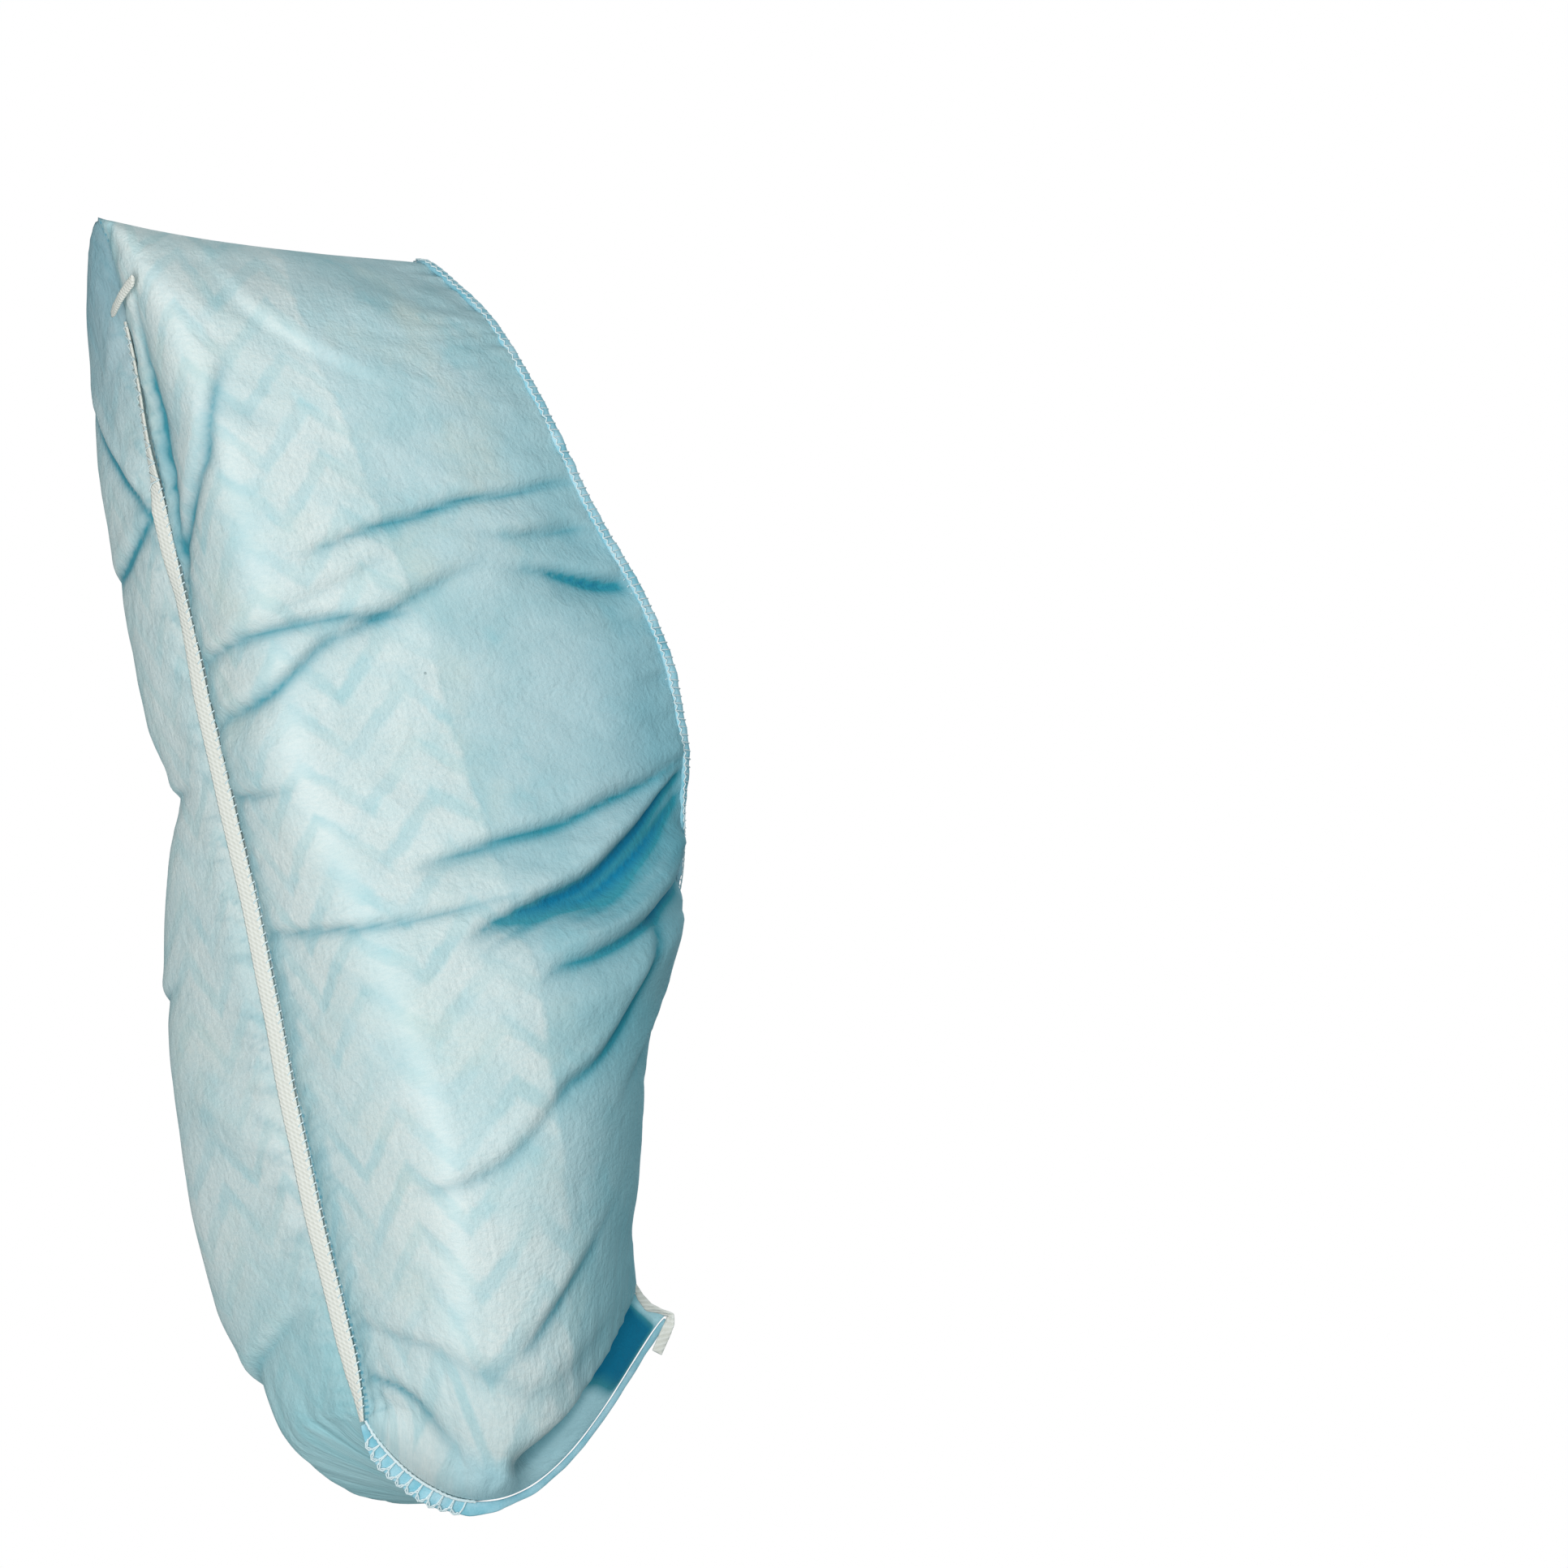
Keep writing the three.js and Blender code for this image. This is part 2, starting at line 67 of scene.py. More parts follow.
def linear(hex_colour):
    """An sRGB hex colour as the linear numbers that a shader takes."""
    parts = [int(hex_colour[i:i + 2], 16) / 255 for i in (1, 3, 5)]
    return tuple(c / 12.92 if c < 0.04045 else ((c + 0.055) / 1.055) ** 2.4 for c in parts) + (1,)


def add(tree, kind, inputs=(), out=0, **settings):
    """A node with its settings and links. Its inputs are numbers, colours or other nodes' outputs, in the
    order of its sockets or by their names, and the output named or numbered by out comes back."""
    node = tree.nodes.new("ShaderNode" + kind)
    for name, value in settings.items():
        setattr(node, name, value)
    for name, value in inputs.items() if isinstance(inputs, dict) else enumerate(inputs):
        if isinstance(value, bpy.types.NodeSocket):
            tree.links.new(value, node.inputs[name])
        else:
            node.inputs[name].default_value = value
    return node.outputs[out]


def new_material(name):
    """A new material, its node tree and its shader."""
    material = bpy.data.materials.new(name)
    material.use_nodes = True
    return material, material.node_tree, material.node_tree.nodes["Principled BSDF"]


camera = bpy.data.objects.new("camera", bpy.data.cameras.new("camera"))
camera.data.sensor_width = SENSOR
camera.data.lens = SENSOR * CAMERA_DISTANCE / FIELD
camera.matrix_world = Matrix.Translation(aim - CAMERA_DISTANCE * look) @ Matrix(
    (right, up, -look)).transposed().to_4x4()
bpy.context.collection.objects.link(camera)
bpy.context.scene.camera = camera
bpy.context.scene.view_settings.view_transform = "Standard"

# name, size in metres, watts, place along right, up and towards the camera from the aim
for name, size, power, place in (
        ("key", 1.6, 34, (-0.55, -0.2, 1.75)),
        ("fill", 1.2, 9, (0.8, 1.5, 0.8)),
        ("back", 1.6, 22, (0.5, 0.5, -1.8))):
    lamp = bpy.data.lights.new(name, "AREA")
    lamp.size = size
    lamp.energy = power
    lamp_object = bpy.data.objects.new(name, lamp)
    spot = aim + place[0] * right + place[1] * up - place[2] * look
    lamp_object.location = spot
    lamp_object.rotation_euler = (LIT_POINT - spot).to_track_quat("-Z", "Y").to_euler()
    bpy.context.collection.objects.link(lamp_object)

# The room is plain white behind the cover. Its soft light from all round is a little blue, as light is
# that has come through the thin cloth.
room = bpy.data.worlds.new("white_room")
room.use_nodes = True
tree = room.node_tree
seen = add(tree, "LightPath", out="Is Camera Ray")
brightness = add(tree, "MapRange", (seen, 0.0, 1.0, ROOM_LIGHT, 1.0))
tint = add(tree, "Mix", {0: seen, 6: linear("#c9edf5"), 7: linear("#ffffff")}, out=2, data_type="RGBA")
tree.links.new(brightness, tree.nodes["Background"].inputs["Strength"])
tree.links.new(tint, tree.nodes["Background"].inputs["Color"])
bpy.context.scene.world = room

bpy.ops.object.select_all(action="DESELECT")
bpy.ops.mesh.primitive_plane_add(size=FLOOR_SIZE, location=(0, 0, FLOOR_Z))
floor = bpy.context.object
floor.name = "floor"
floor_paint, tree, shader = new_material("matt_white_floor")
shader.inputs["Base Color"].default_value = linear("#e9e9e8")
shader.inputs["Roughness"].default_value = 0.8
floor.data.materials.append(floor_paint)

# The cover's cloth. One piece of spunbond polypropylene, 40 g/m2, folded along the instep and sewn
# down the sole, up the heel and round the toe; worn, it is stretched over a shoe and creases at the
# waist and under the ankle. Its lower part has a milky zigzag coating that keeps it from slipping.
# u is the share of the length from heel to toe, v runs from the sole seam (0) up to the opening or the
# instep (1), and side is -1 for the near half and 1 for the far one.
# Each section has, in millimetres from the heel corner: the seam's and the top's place, how far the side
# bulges forward, the half width of each side and of the rim, how much of the top is open (0 to 1), how
# far the sole droops on the far side and rises on the near one, how far the tape lifts the seam, and the
# cloth's girth.
SECTION_COLUMNS = ("u", "seam_x", "seam_z", "top_x", "top_z", "forward", "near", "far", "rim", "open",
                   "droop", "lift", "girth")
SECTIONS = np.array((
    (0.00, 0, 1.0, 28, 84, 2, 0, 0, 0, 1, 0, 0, 92),
    (0.04, 10, 0.5, 35, 87, 1, 17, 21, 10, 1, 0, 2.2, 106),
    (0.10, 31, 0.0, 47, 91, 0, 31, 34, 20, 1, 0, 3.6, 122),
    (0.20, 62, 0.0, 67, 96, 0, 37, 43, 26, 1, 2, 2.4, 135),
    (0.30, 94, 0.0, 95, 102, 0, 38, 45, 29, 1, 3, 2.9, 143),
    (0.40, 126, 0.0, 126, 112, 0, 37, 45, 29, 1, 4, 3.2, 150),
    (0.46, 145, 0.0, 144, 115, 0, 38, 39, 28, 0.95, 3, 3.4, 153),
    (0.52, 162, 0.0, 161, 115, 0, 40, 48, 26, 0.75, 5, 3.8, 157),
    (0.58, 181, 0.0, 178, 112, 0, 43, 59, 21, 0.4, 8, 3.9, 161),
    (0.65, 203, 0.0, 201, 111, 0, 47, 64, 0, 0.08, 11, 3.5, 166),
    (0.72, 225, 0.0, 222, 99, 1, 51, 65, 0, 0, 13, 2.8, 169),
    (0.80, 250, 0.0, 243, 89, 4, 53, 67, 0, 0, 14, 2.6, 168),
    (0.87, 272, 0.3, 262, 83, 9, 49, 67, 0, 0, 13, 2.6, 162),
    (0.93, 290, 0.8, 279, 78, 17, 41, 58, 0, 0, 10, 2.6, 152),
    (0.97, 302, 1.2, 291, 78, 27, 28, 51, 0, 0, 8, 1.6, 142),
    (0.985, 305.5, 1.5, 295, 82, 30, 20, 45, 0, 0, 7, 0.8, 132),
    (1.00, 309, 1.7, 300, 87, 30, 0, 0, 0, 0, 0, 0, 119)), float)
SQUARED = ("near", "far", "rim")  # these grow like a square root where the bag closes
RIM_FRONT = 0.65  # the u at which the opening ends
WAIST = 0.17  # share of the height below which the sole's edge turns
SOLE_ROUND = 0.42  # powers of the sole's edge and of the instep: a smaller one is squarer
TOP_ROUND = 0.8
TURN_SHARE = 0.42  # share of the outline's steps that is below the waist
WALL_LEAN = 2.2  # power by which an open wall leans in to the rim
GROOVE = 13.0  # millimetres beside the seam that the tape lifts with it
BULGE_RISE, BULGE_FALL = 0.85, 1.3  # powers of the forward bulge below and above its foremost point
GIRTH_LEAST, GIRTH_MOST = 0.9, 1.3  # limits of the girth, as shares of the outline's length
TAKE_UP = 4  # power that keeps the difference between them near the top
# The upper end of the toe is pressed flat beside its seam on the near half: from this u, over this much
# of u, from this share of the height, over this much of it, and by this share.
PRESSED = (0.964, 0.012, 0.25, 0.25, 0.8)
FLAT_LENGTH = 330.0  # millimetres of cloth for one unit of u, and of v
FLAT_HALF = 150.0


def eased(x):
    x = np.clip(x, 0, 1)
    return x * x * (3 - 2 * x)


def column(name, u):
    """A column of the section table at u, on a curve that never overshoots."""
    x = SECTIONS[:, 0]
    y = SECTIONS[:, SECTION_COLUMNS.index(name)]
    if name in SQUARED:
        y = y ** 2
    step = np.diff(x)
    rise = np.diff(y) / step
    slope = np.concatenate((rise[:1], np.zeros(len(x) - 2), rise[-1:]))
    for i in range(1, len(x) - 1):
        if rise[i - 1] * rise[i] > 0:
            a, b = 2 * step[i] + step[i - 1], step[i] + 2 * step[i - 1]
            slope[i] = (a + b) / (a / rise[i - 1] + b / rise[i])
    i = np.clip(np.searchsorted(x, u, side="right") - 1, 0, len(x) - 2)
    h = step[i]
    t = (u - x[i]) / h
    value = ((2 * t ** 3 - 3 * t ** 2 + 1) * y[i] + (t ** 3 - 2 * t ** 2 + t) * h * slope[i]
             + (3 * t ** 2 - 2 * t ** 3) * y[i + 1] + (t ** 3 - t ** 2) * h * slope[i + 1])
    return np.sqrt(np.maximum(value, 0)) if name in SQUARED else value


def half_surface(u, v, side):
    """Points of one smooth half, in millimetres from the heel corner, for every u and v."""
    u = np.asarray(u, float)[:, None]
    seam_x, seam_z, top_x, top_z = (column(k, u) for k in ("seam_x", "seam_z", "top_x", "top_z"))
    wide = column("near" if side < 0 else "far", u)
    rim = np.minimum(column("rim", u), wide)
    is_open, droop, forward, girth = (column(k, u) for k in ("open", "droop", "forward", "girth"))
    q = np.linspace(0, 1, 300)[None, :]
    a = np.clip(q / TURN_SHARE, 0, 1) * math.pi / 2
    t = np.clip((q - TURN_SHARE) / (1 - TURN_SHARE), 0, 1)
    b = t * math.pi / 2
    tall = top_z - seam_z
    waist_z = seam_z + WAIST * tall
    top_y = rim + (wide - rim) * np.maximum(np.cos(b), 0) ** TOP_ROUND
    rise = np.sin(b) ** TOP_ROUND
    y = np.where(q < TURN_SHARE, wide * np.sin(a) ** SOLE_ROUND,
                 top_y * (1 - is_open) + (rim + (wide - rim) * (1 - t ** WALL_LEAN)) * is_open)
    z = np.where(q < TURN_SHARE, waist_z - WAIST * tall * np.maximum(np.cos(a), 0) ** SOLE_ROUND,
                 waist_z + (top_z - waist_z) * (rise * (1 - is_open) + t * is_open))
    high = np.clip((z - seam_z) / tall, 0, 1)
    if side < 0:
        start, over, low, climb, share = PRESSED
        y = y * (1 - share * eased((u - start) / over) * eased((high - low) / climb))
    foremost = BULGE_RISE / (BULGE_RISE + BULGE_FALL)
    bulge = (high / foremost) ** BULGE_RISE * ((1 - high) / (1 - foremost)) ** BULGE_FALL
    x = seam_x + (top_x - seam_x) * high + forward * bulge
    z = z - side * droop * y / np.maximum(wide, 1e-6) * (1 - high) ** 2
    z = z + column("lift", u) * np.maximum(1 - y / GROOVE, 0) ** 2 * (1 - high)
    line = np.stack((x, side * y, z), -1)
    gone = np.cumsum(np.linalg.norm(np.diff(line, axis=1), axis=2), axis=1)
    gone = np.concatenate((np.zeros((len(u), 1)), gone), 1)
    total = gone[:, -1:]
    girth = np.clip(girth, total * GIRTH_LEAST, total * GIRTH_MOST)
    at = girth * v + (total - girth) * v ** TAKE_UP
    points = np.empty((len(u), len(v), 3))
    for i in range(len(u)):
        for k in range(3):
            points[i, :, k] = np.interp(at[i], gone[i], line[i, :, k])
    return points


# Folds, each from (u0, v0) to (u1, v1), bowed towards the toe in its middle. width is how far the fold
# reaches on its toe side, and lean makes the other side of a ridge that much wider. A negative depth is a
# crease: the cloth lips up on its heel side, drops in over as sharp an edge as the cloth lets it, and
# rises again towards the toe. The last column is how far it is pressed double there, where it looks
# deepest, and how strong the painted shade in the crease and the painted shadow beside it are.
FOLD_COLUMNS = ("side", "u0", "v0", "u1", "v1", "bow", "width", "lean", "depth", "pinch_and_shade")
FOLDS = (
    # heel and ankle, near half
    (-1, 0.135, 0.33, 0.210, 0.22, 0, 2.4, 2.2, -2.0, 0.4),
    (-1, 0.200, 0.24, 0.285, 0.03, 1, 2.4, 2.2, -2.2, 0.5),
    (-1, 0.090, 0.12, 0.285, 0.04, 0, 7.0, 1.0, -2.6, 0.6),
    (-1, 0.060, 0.36, 0.160, 0.62, 2, 9.0, 1.0, -1.6, 0.0),
    (-1, 0.150, 0.62, 0.260, 0.80, 0, 11.0, 1.0, 0.8, 0.0),
    (-1, 0.282, 0.99, 0.297, 0.38, -2, 2.6, 2.0, -2.2, 0.6),
    (-1, 0.300, 0.92, 0.335, 0.62, 0, 9.0, 1.4, 1.6, 0.0),
    (-1, 0.376, 0.995, 0.350, 0.80, 1, 5.0, 1.6, -3.0, 0.8),
    (-1, 0.325, 0.98, 0.312, 0.72, 1, 3.0, 1.6, -1.4, 0.4),
    (-1, 0.413, 0.97, 0.522, 0.78, 0, 12.0, 1.2, 1.2, 0.0),
    # waist of the foot, near half
    (-1, 0.360, 0.50, 0.368, 0.03, -4, 2.6, 2.4, -2.2, 0.5),
    (-1, 0.335, 0.66, 0.372, 0.34, 0, 3.0, 2.2, -2.0, 0.4),
    (-1, 0.372, 0.34, 0.417, 0.05, 2, 3.0, 2.2, -2.6, 0.5),
    (-1, 0.315, 0.52, 0.345, 0.20, 1, 5.0, 1.4, -1.2, 0.1),
    (-1, 0.440, 0.30, 0.430, 0.04, 2, 6.0, 1.0, 1.4, 0.0),
    (-1, 0.480, 0.20, 0.475, 0.03, 0, 3.5, 1.2, -1.5, 0.4),
    (-1, 0.608, 0.52, 0.590, 0.01, 1, 2.2, 2.6, -2.0, 0.45),
    # instep, near half
    (-1, 0.530, 0.97, 0.566, 0.42, 3, 3.0, 2.2, -2.6, 0.65),
    (-1, 0.538, 0.99, 0.624, 0.48, 5, 4.4, 2.6, -5.0, 1.1),
    (-1, 0.558, 0.99, 0.622, 0.60, 4, 11.0, 1.0, -1.6, 0.8),
    (-1, 0.586, 0.99, 0.650, 0.60, 4, 4.0, 1.2, 2.4, 0.0),
    (-1, 0.604, 0.99, 0.672, 0.58, 4, 3.0, 1.8, -3.2, 0.8),
    (-1, 0.640, 0.93, 0.705, 0.62, 3, 5.0, 1.2, 2.0, 0.0),
    (-1, 0.655, 0.80, 0.765, 0.56, 6, 2.6, 3.0, -2.6, 0.7),
    (-1, 0.760, 0.57, 0.815, 0.26, 5, 2.6, 3.0, -1.4, 0.3),
    (-1, 0.700, 0.92, 0.780, 0.72, 3, 5.0, 1.4, -1.8, 0.2),
    (-1, 0.640, 0.40, 0.700, 0.10, 0, 14.0, 1.0, 1.6, 0.0),
    (-1, 0.760, 0.96, 0.880, 0.88, 0, 6.0, 1.2, -1.6, 0.2),
    # toe, near half
    (-1, 0.885, 0.60, 0.925, 0.40, 1, 7.0, 1.0, -1.4, 0.5),
    (-1, 0.912, 0.06, 0.938, 0.36, 3, 3.0, 2.2, -0.9, 0.25),
    (-1, 0.938, 0.36, 0.948, 0.66, 2, 3.0, 2.2, -0.8, 0.2),
    (-1, 0.955, 0.03, 0.978, 0.24, 2, 2.2, 1.6, -0.8, 0.5),
    # far half
    (1, 0.030, 0.20, 0.070, 0.36, 0, 4.0, 2.0, -2.2, 0.5),
    (1, 0.143, 0.27, 0.245, 0.05, 0, 3.4, 2.2, -2.0, 0.8),
    (1, 0.245, 0.05, 0.290, 0.32, 2, 3.4, 2.0, -1.5, 0.7),
    (1, 0.200, 0.99, 0.235, 0.66, 0, 4.0, 2.2, -2.4, 0.33),
    (1, 0.110, 0.80, 0.190, 0.52, 2, 10.0, 1.0, 2.0, 0.0),
    (1, 0.350, 0.99, 0.330, 0.62, 2, 4.0, 2.2, -2.7, 0.39),
    (1, 0.400, 0.96, 0.440, 0.60, 2, 8.0, 1.2, 2.4, 0.0),
    (1, 0.460, 0.16, 0.470, 0.80, 3, 4.0, 2.2, -2.5, 0.33),
    (1, 0.500, 0.80, 0.520, 0.30, -2, 9.0, 1.0, 1.8, 0.0),
    (1, 0.530, 0.99, 0.590, 0.52, 4, 4.0, 2.4, -3.6, 0.55),
    (1, 0.600, 0.99, 0.650, 0.60, 4, 4.0, 2.4, -3.6, 0.55),
    (1, 0.620, 0.28, 0.645, 0.50, 1, 4.0, 2.4, -1.9, 0.44),
    (1, 0.660, 0.84, 0.780, 0.50, 7, 4.0, 2.6, -2.7, 0.5),
    (1, 0.740, 0.90, 0.860, 0.76, 3, 5.0, 1.8, -1.9, 0.22),
    (1, 0.700, 0.24, 0.760, 0.06, 0, 8.0, 1.0, 1.6, 0.0),
    (1, 0.900, 0.14, 0.935, 0.60, 5, 4.0, 2.2, -2.2, 0.33),
    (1, 0.944, 0.92, 0.975, 0.44, 2, 5.0, 1.0, 2.6, 0.0),
)
SHARP = 1.4  # how far a crease reaches on its steep side, in millimetres
CREASE_LEAN = 0.4  # and how much of its lean its toe side takes
LIP, LIP_AT, LIP_WIDE = 0.35, 2.6, 2.4  # its lip: share of its depth, and place and width in SHARPs
RIDGE_FOOT = 1.5  # where the shade beside a ridge lies, in widths of the ridge
END_REACH = 1.6  # how far a fold runs on past its ends, in widths
END_DEPTH = 0.15  # and the share of its depth that does not taper towards them
WANDER, WANDER_SPACING = 1.6, 23  # how far a fold strays from its line, and how often, in millimetres
PINCH_REACH = 1.2  # half the width of its deepest colour, painted shade along the crease
BROAD_SHADOW = 0.9  # and the share of that colour on its toe side, a painted shadow cast by its lip
STREAK, STREAK_WIDE, STREAK_LONG = 0.9, 2.4, 30  # its unevenness, and its streaks' size in millimetres
FOLD_FADE = 0.035  # the share of v over which folds fade out at the cloth's edges
END_FADE = 0.012  # and the share of u over which they do at the toe
# puckers sewn in by the elastic: their spacing, reach and height in millimetres
TAPE_PUCKER = (5.5, 11.0, 0.8)
RIM_GATHER = (6.0, 24.0, 1.2)
TOE_GATHER = (6.0, 18.0, 1.1)
# random creases: spacing, how much longer they are than wide, height, and share of sharp ridges
CRUMPLE = ((52.0, 1.6, 1.2, 0.3), (24.0, 2.6, 0.8, 0.8), (11.0, 2.4, 0.42, 0.9), (6.0, 3.0, 0.16, 1.0))
CREASE_TURN = math.radians(-28)  # most creases slant this much from straight round the foot
CREASE_BEND, CREASE_BEND_SPACING = 9, 40  # how far they bend, and how often, in millimetres
# where the cloth is drawn smooth: by this share, about this u and over this much of it, and so for v
BALL_DRAWN = (0.75, 0.80, 0.15, 0.36, 0.26)
# on the far half, over the edge of the shoe's sole: by this share, about this v, over this much of it
EDGE_DRAWN = (0.7, 0.35, 0.18)


def noise_field(a, b, seed):
    """Smooth noise between about -1 and 1, one hump to each unit of a and b."""
    values = [noise.noise(Vector((x, y, seed))) for x, y in zip(a.ravel(), b.ravel())]
    return np.array(values).reshape(a.shape)


def fold_height(u, v, side):
    """How far the folds lift the cloth off the smooth surface in millimetres, and how pinched and
    shade-painted it is.
    """
    a, b = u * FLAT_LENGTH, v * FLAT_HALF
    wander = WANDER * noise_field(a / WANDER_SPACING, b / WANDER_SPACING, 5.0 + side)
    height = np.zeros_like(a)
    pinched_and_shaded = np.zeros_like(a)
    for row in FOLDS:
        f = dict(zip(FOLD_COLUMNS, row))
        if f["side"] != side:
            continue
        start = np.array((f["u0"] * FLAT_LENGTH, f["v0"] * FLAT_HALF))
        line = np.array((f["u1"] * FLAT_LENGTH, f["v1"] * FLAT_HALF)) - start
        long = np.hypot(*line)
        t = ((a - start[0]) * line[0] + (b - start[1]) * line[1]) / long ** 2
        inside = np.clip(t, 0, 1)
        across = ((a - start[0]) * line[1] - (b - start[1]) * line[0]) / long * np.sign(line[1] or 1)
        across = across - f["bow"] * 4 * inside * (1 - inside) - wander
        blunt = 1 + abs(line[0]) / long  # a crease that runs along the cover is less sharp
        past_end = (t - inside) * long / (END_REACH * f["width"])
        middle = np.sin(math.pi * np.clip(0.04 + 0.92 * inside, 0, 1)) ** 0.6
        taper = END_DEPTH + (1 - END_DEPTH) * middle
        beyond = np.exp(-past_end ** 2) * taper
        if f["depth"] < 0:
            reach = f["width"] * (1 + CREASE_LEAN * (f["lean"] - 1))
            drop = np.exp(-np.where(across > 0, across / reach, -across / (SHARP * blunt)) ** 1.2)
            lip = LIP * np.exp(-((across + LIP_AT * SHARP) / (LIP_WIDE * SHARP)) ** 2)
            profile = drop - lip
            from_crease = across
        else:
            reach = f["width"]
            slope = np.where(across > 0, reach, reach * f["lean"])
            profile = np.exp(-np.abs(across / slope) ** 1.6)
            from_crease = across - RIDGE_FOOT * reach
        height += f["depth"] * profile * beyond
        # deeper colour along the crease, partly cloth pressed double and partly painted shade, then a
        # painted shadow on its toe side
        narrow = np.exp(-np.abs(from_crease / (PINCH_REACH * blunt)) ** 1.3)
        streaks = 1 + STREAK * noise_field(across / STREAK_WIDE, inside * long / STREAK_LONG, 17.0)
        broad_shadow = eased((from_crease + 0.6) / 0.8) * np.exp(-np.maximum(from_crease, 0) / reach) * streaks
        pinched_and_shaded += f["pinch_and_shade"] * (narrow + BROAD_SHADOW * f["pinch_and_shade"] * broad_shadow) * beyond
    ends = eased(u / 0.03) * eased((1 - u) / END_FADE) * eased(v / FOLD_FADE) * eased((1 - v) / FOLD_FADE)
    return height * ends, pinched_and_shaded * ends


def puckers(wave):
    """Puckers from noise: sharp ridges where it crosses nought, and wide hollows between them."""
    return 0.3 - 1.9 * np.abs(wave)


def crease_height(u, v, side):
    """Random creases, and the puckers that the elastics gather in along the tape, rim and toe, with
    painted shade in the creases' hollows and at the tape's puckers.
    """
    a, b = u * FLAT_LENGTH, v * FLAT_HALF * side
    seed = 3.0 + side
    slant = math.cos(CREASE_TURN) * a + math.sin(CREASE_TURN) * abs(b)
    run = -math.sin(CREASE_TURN) * a + math.cos(CREASE_TURN) * abs(b)
    bend = CREASE_BEND * noise_field(a / CREASE_BEND_SPACING, b / CREASE_BEND_SPACING, seed)
    share, u_middle, u_reach, v_middle, v_reach = BALL_DRAWN
    calm = 1 - share * np.exp(-((u - u_middle) / u_reach) ** 2 - ((v - v_middle) / v_reach) ** 2)
    if side > 0:
        share, v_middle, v_reach = EDGE_DRAWN
        calm = calm * (1 - share * np.exp(-((v - v_middle) / v_reach) ** 2))
    height = np.zeros_like(a)
    for spacing, long, tall, sharp in CRUMPLE:
        field = noise_field((slant + bend) / spacing, run / (spacing * long), seed + spacing)
        ridge = 0.5 - 1.6 * np.abs(field)
        height += tall * calm * (sharp * ridge + (1 - sharp) * field * 1.4)
    # painted shade in the creases' hollows
    pinched_and_shaded = 0.4 * np.clip(-height - 0.5, 0, 1) * calm
    spacing, reach, tall = TAPE_PUCKER
    strength = tall * np.exp(-((v * FLAT_HALF - 4) / reach) ** 2) * eased(v * FLAT_HALF / 4)
    wave = noise_field((a + 0.3 * abs(b)) / spacing, b / (spacing * 4), seed + 11)
    height += strength * puckers(wave)
    # painted shade at the tape's puckers
    pinched_and_shaded += 0.4 * strength * np.clip(1 - 5 * np.abs(wave), 0, 1)
    spacing, reach, tall = RIM_GATHER
    from_rim = (1 - v) * FLAT_HALF
    strength = tall * np.exp(-from_rim / reach) * eased((RIM_FRONT + 0.04 - u) / 0.05)
    wave = noise_field(a / spacing, b / (spacing * 7), seed + 23)
    height += strength * puckers(wave)
    spacing, reach, tall = TOE_GATHER
    from_toe = (1 - u) * FLAT_LENGTH
    strength = tall * np.exp(-from_toe / reach)
    wave = noise_field(b / spacing, a / (spacing * 5), seed + 37)
    height += strength * puckers(wave)
    ends = eased(u / 0.02) * eased((1 - u) / END_FADE) * eased(v / 0.02) * eased((1 - v) / 0.02)
    return height * ends, pinched_and_shaded * ends


ALONG, ROUND = 273, 90  # cells along the cover, and round each half
# The bag closes so steeply at the toe that its last rows are set closer and closer together.
TOE_ROWS, TOE_ROWS_FROM = 26, 0.95
u_line = np.concatenate((np.linspace(0, TOE_ROWS_FROM, ALONG - TOE_ROWS + 1)[:-1],
                         1 - (1 - TOE_ROWS_FROM) * np.linspace(1, 0, TOE_ROWS + 1) ** 2))
v_line = np.linspace(0, 1, ROUND + 1)
u_grid, v_grid = np.meshgrid(u_line, v_line, indexing="ij")
rim_row = int(np.argmin(np.abs(u_line - RIM_FRONT)))

cloth_points = []
cloth_pinch_and_shade = []
cloth_index = {}


def halves_share(i, j):
    """Whether a grid point is on the sole seam, an end or the closed instep, which both halves have."""
    return j == 0 or i in (0, ALONG) or (abs(j) == ROUND and i >= rim_row)


def cloth_key(i, j):
    """The name of a grid point, the same for both halves where they share it."""
    return (i, abs(j)) if halves_share(i, j) else (i, j)


def place_in_scene(piece):
    """Puts a new object into the scene and makes it the selected, active one."""
    bpy.context.collection.objects.link(piece)
    bpy.ops.object.select_all(action="DESELECT")
    piece.select_set(True)
    bpy.context.view_layer.objects.active = piece


VALLEY_SHADE, VALLEY_DEEP = 0.3, 3  # how much deeper the colour is in a valley this many millimetres deep
# The strip of cloth between the toe's inner fold and the end seam, which is wide enough to turn back, and
# the hollow under the tape's loose end, into which the cloth is tucked.
TOE_FOLD = 0.972


def toe_shade(u, v):
    """Painted shade on the near half past the toe's inner fold, deepest in the hollow: how much deeper its
    colour is made.
    """
    hollow = eased((v - 0.72) / 0.08) * eased((0.965 - v) / 0.03) * eased((1.001 - u) / 0.004)
    beside = eased((v - 0.3) / 0.2) * eased((0.986 - u) / 0.008)
    return (2.0 * hollow + 0.5 * beside) * eased((u - TOE_FOLD) / 0.003)


